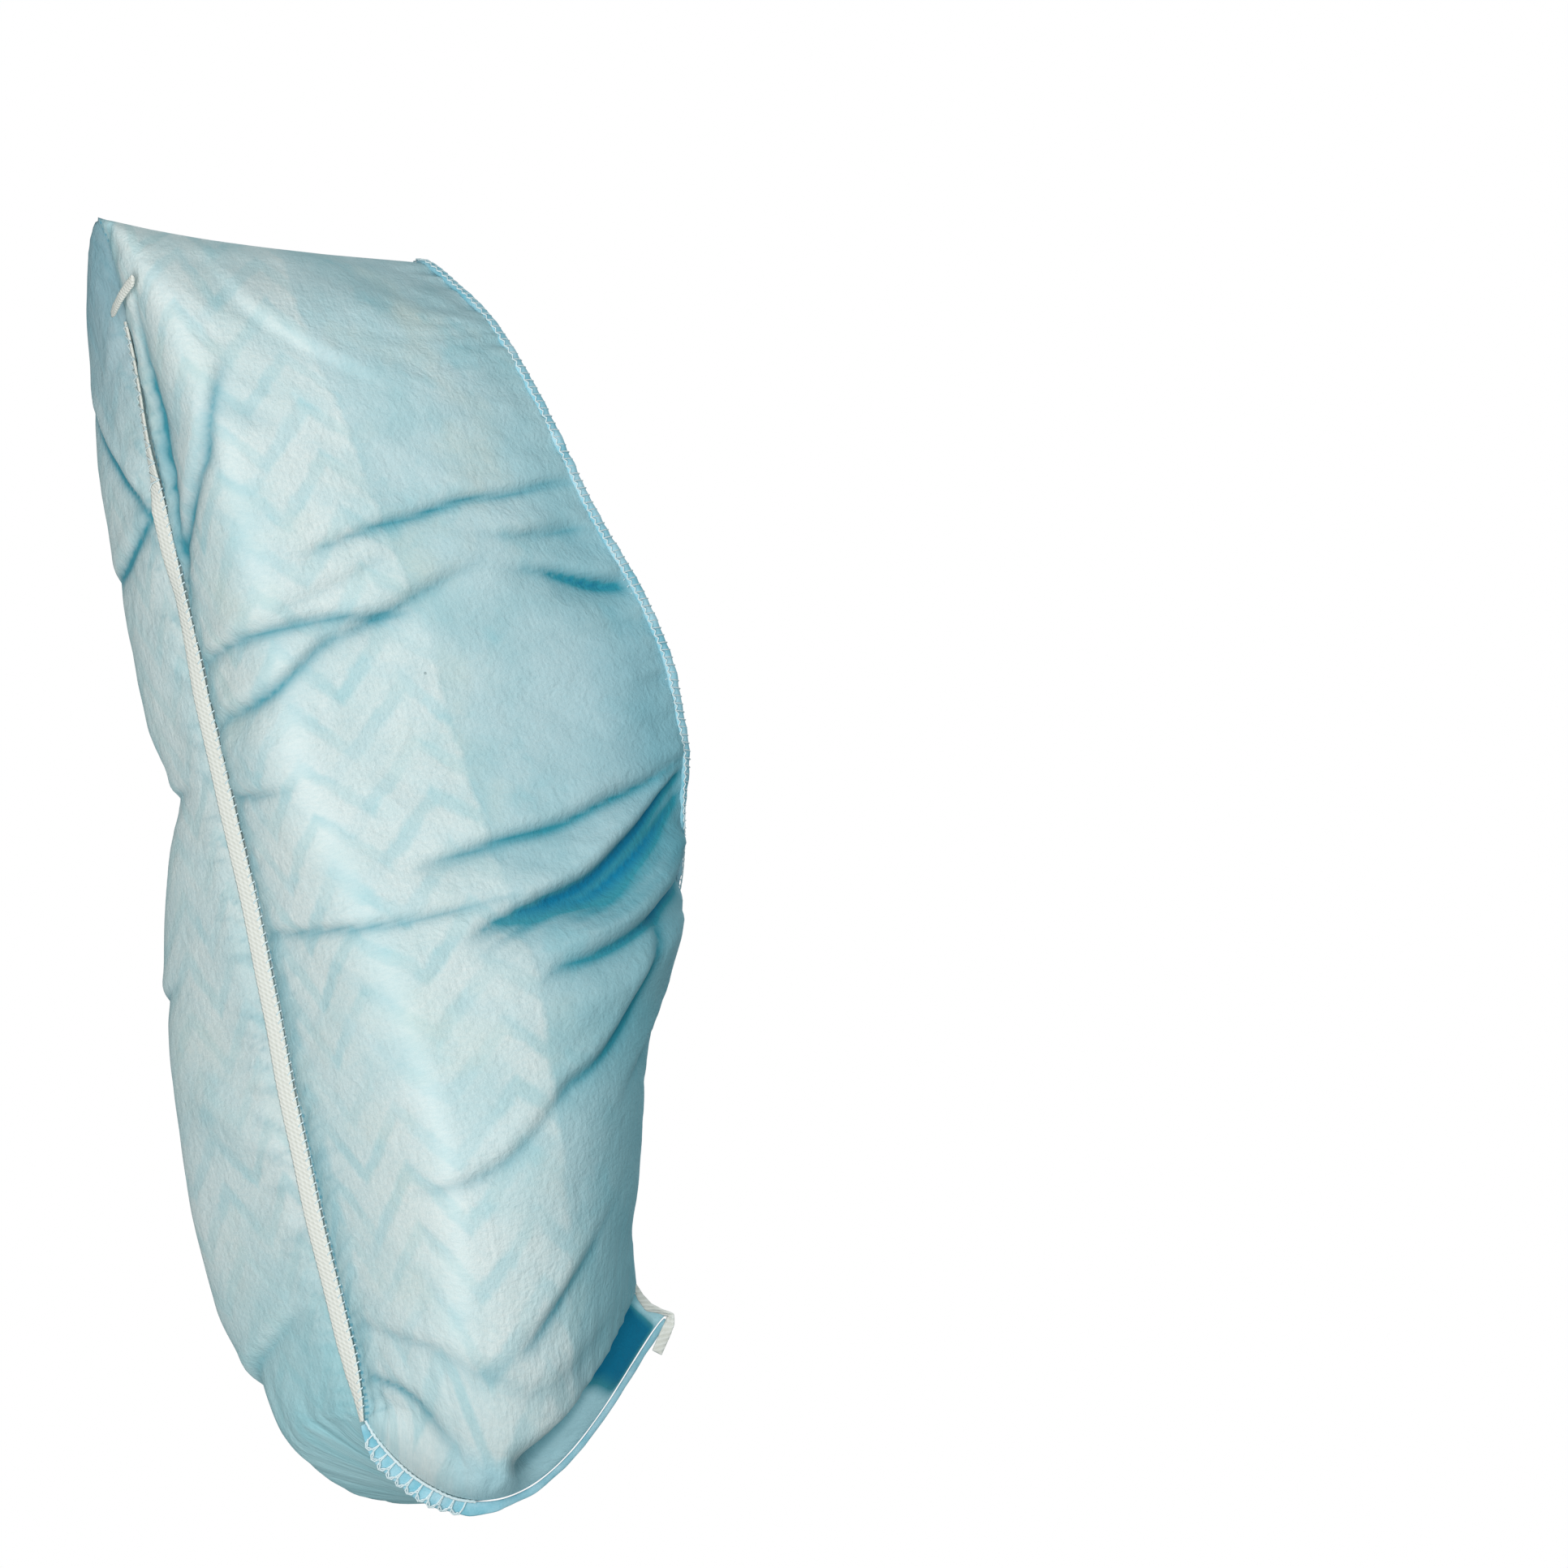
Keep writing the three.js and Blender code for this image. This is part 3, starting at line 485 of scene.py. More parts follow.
for side in (-1, 1):
    smooth_half = half_surface(u_line, v_line, side)
    lift, pinch_and_shade = fold_height(u_grid, v_grid, side)
    more_lift, more_pinch_and_shade = crease_height(u_grid, v_grid, side)
    du = np.gradient(smooth_half, axis=0)
    dv = np.gradient(smooth_half, axis=1)
    outward = np.cross(dv, du) * side
    size = np.linalg.norm(outward, axis=2, keepdims=True)
    outward = np.where(size > 1e-6, outward / np.maximum(size, 1e-9), 0)
    raised = smooth_half + outward * (lift + more_lift)[..., None]
    # deeper colour where the cloth is pressed double, and painted shade in creases, valleys and the toe's
    # hollow
    pinch_and_shade = pinch_and_shade + more_pinch_and_shade + VALLEY_SHADE * np.clip(-(lift + more_lift) / VALLEY_DEEP, 0, 1)
    if side < 0:
        pinch_and_shade = np.maximum(pinch_and_shade, toe_shade(u_grid, v_grid))
    for i in range(ALONG + 1):
        for j in range(ROUND + 1):
            key = cloth_key(i, side * j)
            if key not in cloth_index:
                cloth_index[key] = len(cloth_points)
                cloth_points.append(raised[i, j])
                cloth_pinch_and_shade.append(pinch_and_shade[i, j])

to_frame = np.array((HEEL / MM, 0, -SEAT_Z / MM))
cloth_faces = []
cloth_cut = []  # each face corner's place on the map of the flat cut
CUT_MARGIN, CUT_SPAN, CUT_HALF = 0.05, 0.9, 0.48  # the cut's edge, its length and half its width there
for i in range(ALONG):
    for j in range(-ROUND, ROUND):
        loop = ((i, j), (i, j + 1), (i + 1, j + 1), (i + 1, j))
        corners = [cloth_index[cloth_key(*c)] for c in loop]
        kept = [k for k in range(4) if corners[k] not in corners[:k]]
        own = [k for k in kept if not halves_share(*loop[k])]
        cells = [kept] if len(kept) > 2 else []
        if len(kept) == 4 and len(own) == 1:  # the bag's pointed corners, split so that no face is doubled
            k = own[0]
            cells = [(k, (k + 1) % 4, (k + 2) % 4), (k, (k + 2) % 4, (k + 3) % 4)]
        for cell in cells:
            cloth_faces.append([corners[k] for k in cell])
            cloth_cut += [(CUT_MARGIN + CUT_SPAN * u_line[loop[k][0]], 0.5 + CUT_HALF * loop[k][1] / ROUND)
                          for k in cell]
cloth_mesh = bpy.data.meshes.new("cover")
cloth_mesh.from_pydata([tuple((p + to_frame) * MM) for p in cloth_points], [], cloth_faces)
cut_map = cloth_mesh.uv_layers.new(name="cut")
cut_map.data.foreach_set("uv", np.array(cloth_cut).ravel())
pinch_and_shade_map = cloth_mesh.attributes.new("pinch_and_shade", "FLOAT", "POINT")
pinch_and_shade_map.data.foreach_set("value", np.array(cloth_pinch_and_shade))
cloth_mesh.shade_smooth()
cover = bpy.data.objects.new("cover", cloth_mesh)
place_in_scene(cover)
CLOTH_THICK = 0.4 * MM
wall = cover.modifiers.new("wall", "SOLIDIFY")
wall.thickness = CLOTH_THICK
wall.offset = -1
bpy.ops.object.modifier_apply(modifier="wall")

# Spunbond polypropylene: thin, fuzzy, slightly see-through aqua cloth with pin-point bonds, and a milky
# anti-skid coating printed on it in zigzags 16 mm apart. Where it lies double it looks deeper and bluer,
# and its creases, hollows and the sides turned from the light are made deeper still with painted shade.
spunbond, tree, shader = new_material("spunbond_polypropylene")
CUT_LENGTH, CUT_WIDTH = FLAT_LENGTH / CUT_SPAN, FLAT_HALF / CUT_HALF  # millimetres for one unit of the map
share = add(tree, "SeparateXYZ", (add(tree, "UVMap", uv_map="cut"),)).node.outputs
along_mm = add(tree, "Math", (share[0], CUT_LENGTH), operation="MULTIPLY")
round_mm = add(tree, "Math", (share[1], CUT_WIDTH, -CUT_WIDTH / 2), operation="MULTIPLY_ADD")
place = add(tree, "CombineXYZ", (along_mm, round_mm))
from_seam = add(tree, "Math", (round_mm,), operation="ABSOLUTE")

# How far each printed stripe is set towards the toe, in millimetres, at each distance from the sole seam.
STRIPE_PITCH = 15.7
STRIPE_WIDTH = 0.66  # printed share of the pitch
NEAR_STRIPE = ((0, -10), (12, -9), (23, 7), (38, -9), (52, 6), (60, -1), (69, -9), (88, 10))
FAR_STRIPE = ((0, 6), (9, -7), (19, 7), (31, -7), (45, 7), (60, -6), (88, 10))
SET_OFF, SET_SPAN, BAND = 40.0, 80.0, 90.0  # the curve's range: -40 to 40 mm, over the first 90 mm
PRINT_EDGE = 79.0  # the coating ends this far from the seam
PLAIN_MARGIN = 11.0  # and on the near half starts this far from it
SOFT = 1.0  # half the width of its blurred edge
unevenness = add(tree, "TexNoise", {"Vector": place, "Scale": 0.11, "Detail": 3, "Roughness": 0.6})
ragged = add(tree, "Math", (unevenness, 6.0, -3.0), operation="MULTIPLY_ADD")


def stripes(points, shift):
    """1 on the stripes and 0 between them, for one column of zigzags."""
    curve = add(tree, "FloatCurve", {"Value": add(tree, "Math", (from_seam, BAND), operation="DIVIDE")})
    line = curve.node.mapping.curves[0].points
    for n, (distance, offset) in enumerate(points):
        spot = (distance / BAND, (offset + SET_OFF) / SET_SPAN)
        handle = line[0] if n == 0 else line[-1] if n == len(points) - 1 else line.new(*spot)
        handle.location = spot
        handle.handle_type = "VECTOR"
    curve.node.mapping.update()
    offset = add(tree, "Math", (curve, SET_SPAN, -SET_OFF - shift), operation="MULTIPLY_ADD")
    run = add(tree, "Math", (along_mm, offset), operation="SUBTRACT")
    run = add(tree, "Math", (run, ragged), operation="ADD")
    row = add(tree, "Math", (run, STRIPE_PITCH / 2), operation="PINGPONG")
    half = STRIPE_WIDTH * STRIPE_PITCH / 2
    return add(tree, "MapRange", (row, half + SOFT, half - SOFT, 0.0, 1.0))


is_far = add(tree, "Math", (round_mm, 0.0), operation="GREATER_THAN")
is_near = add(tree, "Math", (round_mm, 0.0), operation="LESS_THAN")
edge_at = add(tree, "Math", (ragged, 0.8, PRINT_EDGE), operation="MULTIPLY_ADD")
inside_edge = add(tree, "Math", (edge_at, from_seam), operation="SUBTRACT")
inside_edge = add(tree, "MapRange", (inside_edge, -SOFT, SOFT, 0.0, 1.0))
past_margin = add(tree, "MapRange", (from_seam, PLAIN_MARGIN - SOFT, PLAIN_MARGIN + SOFT, 0.0, 1.0))
near_print = add(tree, "Math", (stripes(NEAR_STRIPE, 0.0), past_margin), operation="MULTIPLY")
near_print = add(tree, "Math", (near_print, is_near), operation="MULTIPLY")
printed = add(tree, "Math", (stripes(FAR_STRIPE, 5.0), is_far, near_print), operation="MULTIPLY_ADD")
printed = add(tree, "Math", (printed, inside_edge), operation="MULTIPLY")
# the coating of the layer underneath, where it lies close enough to show through
close_by = add(tree, "TexNoise", {"Vector": place, "Scale": 0.028, "Detail": 2, "Roughness": 0.5})
close_by = add(tree, "MapRange", (close_by, 0.40, 0.56, 0.0, 0.34))
behind = add(tree, "Math", (stripes(FAR_STRIPE, 11.0), close_by), operation="MULTIPLY")
behind = add(tree, "Math", (behind, inside_edge), operation="MULTIPLY")
# a thin milky veil all over the printed band
veil = add(tree, "Math", (inside_edge, 0.24), operation="MULTIPLY")

# Broad unevenness of the cloth and of the coating: noise scale per millimetre, and the share it takes.
shades = []
for scale, low, high, most in ((0.033, 0.36, 0.62, 1.0), (0.022, 0.54, 0.70, 0.6), (0.05, 0.56, 0.70, 0.5),
                               (0.03, 0.35, 0.62, 0.48)):
    cloud = add(tree, "TexNoise", {"Vector": place, "Scale": scale, "Detail": 3, "Roughness": 0.6})
    shades.append(add(tree, "MapRange", (cloud, low, high, 0.0, most)))
fading = add(tree, "Math", (shades.pop(), 0.12), operation="ADD")
streaked = add(tree, "Mapping", {"Vector": place, "Scale": (1.0, 0.35, 1.0), "Rotation": (0, 0, 0.5)})
fibres = add(tree, "TexNoise", {"Vector": streaked, "Scale": 1.1, "Detail": 5, "Roughness": 0.75})
pinch_and_shade = add(tree, "Attribute", out="Fac", attribute_name="pinch_and_shade")
# painted shade at every stitch beside the tape, where the needle draws the cloth in
STITCH = 2.2
needle = add(tree, "Math", (along_mm, 2 * math.pi / STITCH), operation="MULTIPLY")
needle = add(tree, "Math", (needle,), operation="SINE")
needle = add(tree, "MapRange", (needle, -0.2, 0.8, 0.2, 0.75))
beside = add(tree, "Math", (round_mm, 1.0), operation="ADD")
beside = add(tree, "Math", (beside,), operation="ABSOLUTE")
beside = add(tree, "MapRange", (beside, 0.7, 1.6, 1.0, 0.0))
stitch_dimple_shade = add(tree, "Math", (needle, beside), operation="MULTIPLY")
# a few specks of dirt, 35 mm apart or so
speck = add(tree, "TexVoronoi", {"Vector": place, "Scale": 0.028, "Randomness": 1.0})
speck = add(tree, "MapRange", (speck, 0.009, 0.014, 0.5, 0.0))

# Patches of tone, mostly painted shade. The margin beside the tape on the near half is bare of coating and
# darker, partly plain cloth and partly painted shade. The far half by the heel and low on the toe, and the
# instep, ball and rim sides turned from the light are painted shade, partly the instep's plainer cloth.
# Beyond the toe's inner fold the strip is painted light, and no coating is left there.
past_heel = add(tree, "MapRange", (along_mm, 80.0, 190.0, 0.2, 1.0))
on_ball = add(tree, "MapRange", (along_mm, 222.0, 258.0, 0.0, 1.0))
above_sole = add(tree, "MapRange", (from_seam, 30.0, 50.0, 0.0, 1.0))
near_side = add(tree, "Math", (above_sole, is_near), operation="MULTIPLY")
patches = {}
# name, what it is measured by, where its edge starts and ends in millimetres, its share at each, and
# what it is kept to
for name, measure, start, end, first, last, kept_to in (
        ("bare_and_shaded", from_seam, 4.0, PLAIN_MARGIN + 3, 0.55, 0.0, is_near),
        ("heel", along_mm, 40.0, 92.0, 0.7, 0.0, is_far),
        ("beyond", along_mm, 339.0, 343.0, 0.0, 0.9, near_side),
        ("low_toe_shade", along_mm, 290.0, 340.0, 0.0, 0.6, is_far),
        ("instep", from_seam, 74.0, 125.0, 0.0, 0.8, past_heel),
        ("over_ball_shade", from_seam, 68.0, 118.0, 0.0, 0.85, on_ball),
        ("at_rim_shade", from_seam, 120.0, 136.0, 0.0, 0.5, past_heel)):
    ramp = add(tree, "MapRange", (measure, start, end, first, last))
    patches[name] = add(tree, "Math", (ramp, kept_to), operation="MULTIPLY")
# each layer's share, and the colour that it brings, from the lowest up
colour = linear("#b0cdd0")
for amount, hex_colour in (
        (shades[0], "#c8d9da"), (shades[1], "#d6d9ce"), (shades[2], "#92c8cf"),
        # painted shade on the sides turned from the light: instep (partly its plainer cloth), ball and rim
        # patches; and the darker bare margin beside the tape, partly painted shade
        (patches["instep"], "#9bbcc4"), (veil, "#d9e8e6"), (patches["over_ball_shade"], "#6fadb8"),
        (patches["at_rim_shade"], "#5fa5b4"), (patches["bare_and_shaded"], "#86c2cd"), (behind, "#dbe2dd"),
        (add(tree, "Math", (printed, fading), operation="MULTIPLY"), "#e8e8e4"),
        (add(tree, "MapRange", (fibres, 0.35, 0.70, 0.0, 0.2)), "#84bac6"),
        # painted light: the strip beyond the toe's inner fold, made lighter where it lies in shade
        (patches["beyond"], "#bfe6ee"),
        # painted shade: deeper teal in creases, valleys and the toe's hollow, partly cloth lying double
        (add(tree, "MapRange", (pinch_and_shade, 0.03, 1.0, 0.0, 0.92)), "#178a9c"),
        (add(tree, "MapRange", (pinch_and_shade, 1.1, 2.0, 0.0, 1.0)), "#0a7a9e"),
        # painted shade: the heel patch, the far half low on the toe, and the marks at each stitch beside
        # the tape
        (patches["heel"], "#6f9dab"), (patches["low_toe_shade"], "#86c6cf"), (stitch_dimple_shade, "#4a9fb6"),
        (speck, "#5d6f70")):
    colour = add(tree, "Mix", {0: amount, 6: colour, 7: linear(hex_colour)}, out=2, data_type="RGBA")
tree.links.new(colour, shader.inputs["Base Color"])
tree.links.new(add(tree, "MapRange", (printed, 0.0, 1.0, 0.9, 0.75)), shader.inputs["Roughness"])
shader.inputs["Specular IOR Level"].default_value = 0.2
shader.inputs["Sheen Weight"].default_value = 0.04
shader.inputs["Sheen Roughness"].default_value = 0.5
# pin-point bonds, drawn 1.6 mm apart instead of 0.8 so that they show, fine creases, and the coating
bonds = add(tree, "TexVoronoi", {"Vector": place, "Scale": 0.62, "Randomness": 0.35})
crinkle = add(tree, "TexNoise", {"Vector": place, "Scale": 0.14, "Detail": 4, "Roughness": 0.62})
crinkle = add(tree, "Math", (crinkle, 0.5), operation="SUBTRACT")
crinkle = add(tree, "Math", (crinkle,), operation="ABSOLUTE")
relief = add(tree, "Math", (bonds, 0.4, fibres), operation="MULTIPLY_ADD")
relief = add(tree, "Math", (printed, 0.3, relief), operation="MULTIPLY_ADD")
relief = add(tree, "Math", (crinkle, -6.0, relief), operation="MULTIPLY_ADD")
bump = add(tree, "Bump", {"Strength": 0.6, "Distance": 0.3 * MM, "Height": relief})
tree.links.new(bump, shader.inputs["Normal"])
cover.data.materials.append(spunbond)
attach(cover, "root")
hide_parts("cover_shell")

# The elastic tape of the sole seam. A knitted white tape about 5 mm wide, sewn over the seam along its
# near edge, so that it leans on the far side of the groove that it draws up. Towards the heel it turns on
# edge.
TAPE_FROM, TAPE_TO = 27.0, 309.5
TAPE_STEP = 0.55
TAPE_THICK = 0.8
SCALLOP = 0.03  # how much of its width each stitch draws in
SWAY, SWAY_LENGTH = 0.12, 5.3  # how far it waves through its thickness, and over what length
# length from the heel corner, width, turn about its length in degrees, and its middle's place beside and
# below the seam
TAPE_SHAPE = np.array((
    (27, 3.0, 14, 0.0, 1.3), (40, 3.4, 18, 0.2, 1.3), (56, 3.4, 10, 0.2, 1.3), (66, 4.0, -4, 0.6, 1.4),
    (75, 4.8, -30, 1.6, 1.9), (86, 4.8, -28, 1.6, 1.9), (97, 4.1, -16, 1.2, 1.7),
    (108, 4.5, -22, 1.5, 1.8), (122, 4.8, -30, 1.8, 2.0), (150, 5.0, -32, 1.9, 2.1),
    (200, 5.1, -34, 1.9, 2.2), (250, 5.2, -33, 1.9, 2.1), (290, 5.1, -31, 1.7, 1.9),
    (297, 4.6, -26, 1.4, 1.7), (304, 3.0, -18, 0.7, 1.3), (309.5, 1.3, -10, 0.1, 0.9)), float)


def seam_point(x):
    """A point of the sole seam at a length from the heel corner."""
    seam_u = np.linspace(0, 1, 600)
    height = column("seam_z", seam_u) + column("lift", seam_u)
    return np.array((x, 0.0, np.interp(x, column("seam_x", seam_u), height)))


def tape_place(x):
    """The tape at a length from the heel corner: its middle, the way across it, the way through it and
    its width."""
    width, turn, beside, below = (np.interp(x, TAPE_SHAPE[:, 0], TAPE_SHAPE[:, k]) for k in range(1, 5))
    turn = math.radians(turn)
    wide = np.array((0, math.cos(turn), math.sin(turn)))
    thick = np.array((0, -math.sin(turn), math.cos(turn)))
    return seam_point(x) + np.array((0, beside, -below)), wide, thick, width


def to_metres(points):
    """Points from the heel corner in millimetres, as the frame's in metres."""
    return [tuple((np.asarray(p) + to_frame) * MM) for p in points]


def ribbon(name, rings, closed=False):
    """A band through rings of points that all have the same number, with its ends closed."""
    count = len(rings[0])
    faces = []
    for i in range(len(rings) - (0 if closed else 1)):
        k = (i + 1) % len(rings)
        faces += [(i * count + j, i * count + (j + 1) % count, k * count + (j + 1) % count, k * count + j)
                  for j in range(count)]
    if not closed:
        faces += [tuple(range(count))[::-1], tuple((len(rings) - 1) * count + j for j in range(count))]
    mesh = bpy.data.meshes.new(name)
    mesh.from_pydata(to_metres(p for ring in rings for p in ring), [], faces)
    piece = bpy.data.objects.new(name, mesh)
    place_in_scene(piece)
    bpy.ops.object.mode_set(mode="EDIT")
    bpy.ops.mesh.select_all(action="SELECT")
    bpy.ops.mesh.normals_make_consistent(inside=False)
    bpy.ops.object.mode_set(mode="OBJECT")
    mesh.shade_smooth()
    return piece


def band_ring(middle, wide, thick, width, depth, points=12):
    """A flat round-edged section: wide and thick are its directions, width and depth its sizes."""
    ring = []
    for n in range(points):
        turn = 2 * math.pi * (n + 0.5) / points
        c, d = math.cos(turn), math.sin(turn)
        ring.append(middle + wide * math.copysign(abs(c) ** 0.55, c) * width / 2
                    + thick * math.copysign(abs(d) ** 0.75, d) * depth / 2)
    return ring


tape_rings = []
for x in np.arange(TAPE_FROM, TAPE_TO, TAPE_STEP):
    middle, wide, thick, width = tape_place(x)
    scallop = 1 + SCALLOP * math.sin(2 * math.pi * x / STITCH)
    middle = middle + thick * SWAY * math.sin(x / SWAY_LENGTH)
    taper = min(1, 0.55 + (x - TAPE_FROM) / 4)
    tape_rings.append(band_ring(middle, wide, thick, width * taper * scallop, TAPE_THICK))
tape = ribbon("tape", tape_rings)

# Knitted polyester over rubber: matt off-white, with ribs 1.1 mm apart along it and a slanting knit
# 1.3 mm apart, drawn a little coarser than it is so that it shows.
KNIT_PITCH, RIB_PITCH = 1.3, 1.1
knit, tree, shader = new_material("knitted_elastic_tape")
place = add(tree, "TexCoord", out="Object")
place = add(tree, "Mapping", {"Vector": place, "Scale": (1 / MM, 1 / MM, 1 / MM)})
spot = add(tree, "SeparateXYZ", (place,)).node.outputs
slanted = add(tree, "Math", (spot[1], 0.9, spot[0]), operation="MULTIPLY_ADD")
slanted = add(tree, "Math", (slanted, 2 * math.pi / KNIT_PITCH), operation="MULTIPLY")
knit_rows = add(tree, "Math", (slanted,), operation="SINE")
ribs = add(tree, "Math", (spot[1], 2 * math.pi / RIB_PITCH), operation="MULTIPLY")
ribs = add(tree, "Math", (ribs,), operation="SINE")
fuzz = add(tree, "TexNoise", {"Vector": place, "Scale": 1.4, "Detail": 4, "Roughness": 0.65})
weave = add(tree, "Math", (ribs, 0.5, knit_rows), operation="MULTIPLY_ADD")
weave = add(tree, "Math", (fuzz, 3.0, weave), operation="MULTIPLY_ADD")
colour = add(tree, "Mix", {0: add(tree, "MapRange", (weave, -0.6, 3.4, 0.0, 1.0)), 6: linear("#d6d3c8"),
                           7: linear("#efece5")}, out=2, data_type="RGBA")
tree.links.new(colour, shader.inputs["Base Color"])
shader.inputs["Roughness"].default_value = 0.85
bump = add(tree, "Bump", {"Strength": 0.5, "Distance": 0.12 * MM, "Height": weave})
tree.links.new(bump, shader.inputs["Normal"])
tape.data.materials.append(knit)
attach(tape, "root")
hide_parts("sole_seam_tape")

# The seam's own thread. Spun polyester, 0.4 mm thick, in small slanted stitches along the near edge of
# the tape, with longer crossed ones where the tape is on edge.
ON_EDGE_TO = 68.0
SEAM_THREAD_RADIUS = 0.2


def thread(name, runs, radius):
    """Threads laid through runs of points, as one mesh."""
    line = bpy.data.curves.new(name, "CURVE")
    line.dimensions = "3D"
    line.bevel_depth = radius * MM
    line.bevel_resolution = 1
    line.use_fill_caps = True
    for run in runs:
        spline = line.splines.new("POLY")
        spline.points.add(len(run) - 1)
        for knot, place_at in zip(spline.points, to_metres(run)):
            knot.co = (*place_at, 1)
    place_in_scene(bpy.data.objects.new(name, line))
    bpy.ops.object.convert(target="MESH")
    piece = bpy.context.object
    piece.data.shade_smooth()
    return piece


def tape_edge(x, side, out=0.0):
    """A point on the edge of the tape, with out further from its middle."""
    middle, wide, thick, width = tape_place(x)
    return middle + wide * side * (width / 2 + out)


down = np.array((0, 0, -1.0))
stitch_runs = []
for n, x in enumerate(np.arange(TAPE_FROM + 1, TAPE_TO - 3, STITCH)):
    side = -1 if n % 2 else 1
    if x < ON_EDGE_TO:
        stitch_runs.append([tape_edge(x, -side, 0.5) + down * 0.2, tape_edge(x + 0.5, 0) + down * 0.9,
                            tape_edge(x + STITCH, side, 0.6) + down * 0.1])
    else:
        stitch_runs.append([tape_edge(x, -1, 0.5) - down * 0.2, tape_edge(x + 0.4, -1, 0.1) + down * 0.4,
                            tape_edge(x + 0.9, -1, -0.5) + down * 0.5, tape_edge(x + 1.1, -1, -0.8)])
seam_thread = thread("seam_thread", stitch_runs, SEAM_THREAD_RADIUS)
# Spun polyester: soft and fibrous, white, with painted shade of the cloth's blue where its twist lies
# deeper.
spun, tree, shader = new_material("spun_polyester_thread")
place = add(tree, "TexCoord", out="Object")
twist_and_shade = add(tree, "TexNoise", {"Vector": place, "Scale": 2.2 / MM, "Detail": 2})
colour = add(tree, "Mix", {0: twist_and_shade, 6: linear("#b9d3d9"), 7: linear("#f2f5f4")}, out=2, data_type="RGBA")
tree.links.new(colour, shader.inputs["Base Color"])
shader.inputs["Roughness"].default_value = 0.7
bump = add(tree, "Bump", {"Strength": 0.5, "Distance": 0.08 * MM, "Height": twist_and_shade})
tree.links.new(bump, shader.inputs["Normal"])
seam_thread.data.materials.append(spun)
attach(seam_thread, "root")

# The loose end of the tape at the heel. The same knit, 3.4 mm wide and about 18 mm long, cut off and
# turned aside over the near half.
HEEL_TAIL = np.array(((24.4, -2.4, -1.7), (23.0, -7.0, -2.1), (21.0, -11.5, -2.0), (19.0, -16.0, -1.3),
                      (17.6, -19.6, -0.7)))
HEEL_TAIL_WIDE, HEEL_TAIL_THICK = 3.4, 0.9
wide = np.array((0.93, 0.36, 0.0))
thick = np.array((0.0, 0.1, 0.995))


def table_row(table, at):
    """The row at a place between the rows of a table, such as 1.5 for halfway from row 1 to row 2."""
    return np.array([np.interp(at, range(len(table)), table[:, k]) for k in range(table.shape[1])])


tail_rings = []
for t in np.linspace(0, 1, 40):
    middle = table_row(HEEL_TAIL, t * (len(HEEL_TAIL) - 1))
    width = HEEL_TAIL_WIDE * min(1, 0.62 + 3 * t, (1.0 - t) ** 0.5 * 3.2 + 0.25)
    tail_rings.append(band_ring(middle, wide, thick, width, HEEL_TAIL_THICK))
heel_tail = ribbon("heel_tail", tail_rings)
heel_tail.data.materials.append(knit)
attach(heel_tail, "root")
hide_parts("heel_tape_tail")

# The loose end of the tape at the toe. It leaves the end seam, turns on edge where it bends over, and
# hangs down in a flat strip.
# along the ribbon: x, y, z, width, turn about its length in degrees
TOE_TAIL = np.array((
    (290.4, -6.4, 77.8, 1.0, 0), (294.0, -6.6, 78.6, 2.0, 0), (297.0, -6.6, 80.2, 2.4, 25),
    (298.6, -6.5, 83.0, 1.9, 62), (300.2, -6.5, 85.6, 2.2, 62), (302.2, -6.5, 84.8, 2.6, 30),
    (304.8, -6.5, 82.8, 2.9, 0), (308.6, -6.5, 79.8, 2.8, 0)))
TOE_TAIL_THICK = 0.7
toe_rings = []
for t in np.linspace(0, 1, 60):
    at = t * (len(TOE_TAIL) - 1)
    here = table_row(TOE_TAIL, at)
    before, after = table_row(TOE_TAIL, at - 0.3)[:3], table_row(TOE_TAIL, at + 0.3)[:3]
    way = (after - before) / np.linalg.norm(after - before)
    wide = np.array((-way[2], 0, way[0]))
    side_way = np.cross(way, wide)
    turn = math.radians(here[4])
    toe_rings.append(band_ring(here[:3], wide * math.cos(turn) + side_way * math.sin(turn),
                               side_way * math.cos(turn) - wide * math.sin(turn), here[3], TOE_TAIL_THICK))
toe_tail = ribbon("toe_tail", toe_rings)
toe_tail.data.materials.append(knit)
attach(toe_tail, "root")
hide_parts("toe_tape_tail")

# The toe seam's edge. Two layers of the cloth standing proud of the closed end: 4.4 mm by the sole, where
# white overlock thread is looped over them every 3 mm, and a narrow cut edge further up.
end_line = half_surface(np.array((1.0,)), np.linspace(0, 1, 400), 1)[0]
end_gone = np.concatenate(([0], np.cumsum(np.linalg.norm(np.diff(end_line, axis=0), axis=1))))


def toe_seam(distance):
    """A point of the end seam and the way out of it, at a distance from its lower end."""
    at, before, after = (np.array([np.interp(distance + d, end_gone, end_line[:, k]) for k in range(3)])
                         for d in (0, -0.8, 0.8))
    way = (after - before) / np.linalg.norm(after - before)
    return at, np.array((way[2], 0, -way[0])), way


EDGE_THICK = 1.0
EDGE_FROM, EDGE_STEP = 0.6, 0.8
# distance from the lower end of the seam, width, and how far its edge leans to the far side in radians
EDGE_SHAPE = np.array(((0, 1.2, 0.0), (5, 3.0, 0.3), (10, 4.3, 0.5), (28, 4.6, 0.6), (36, 4.0, 0.4),
                       (44, 2.2, 0.0), (60, 1.6, 0.0), (120, 1.6, 0.0)))


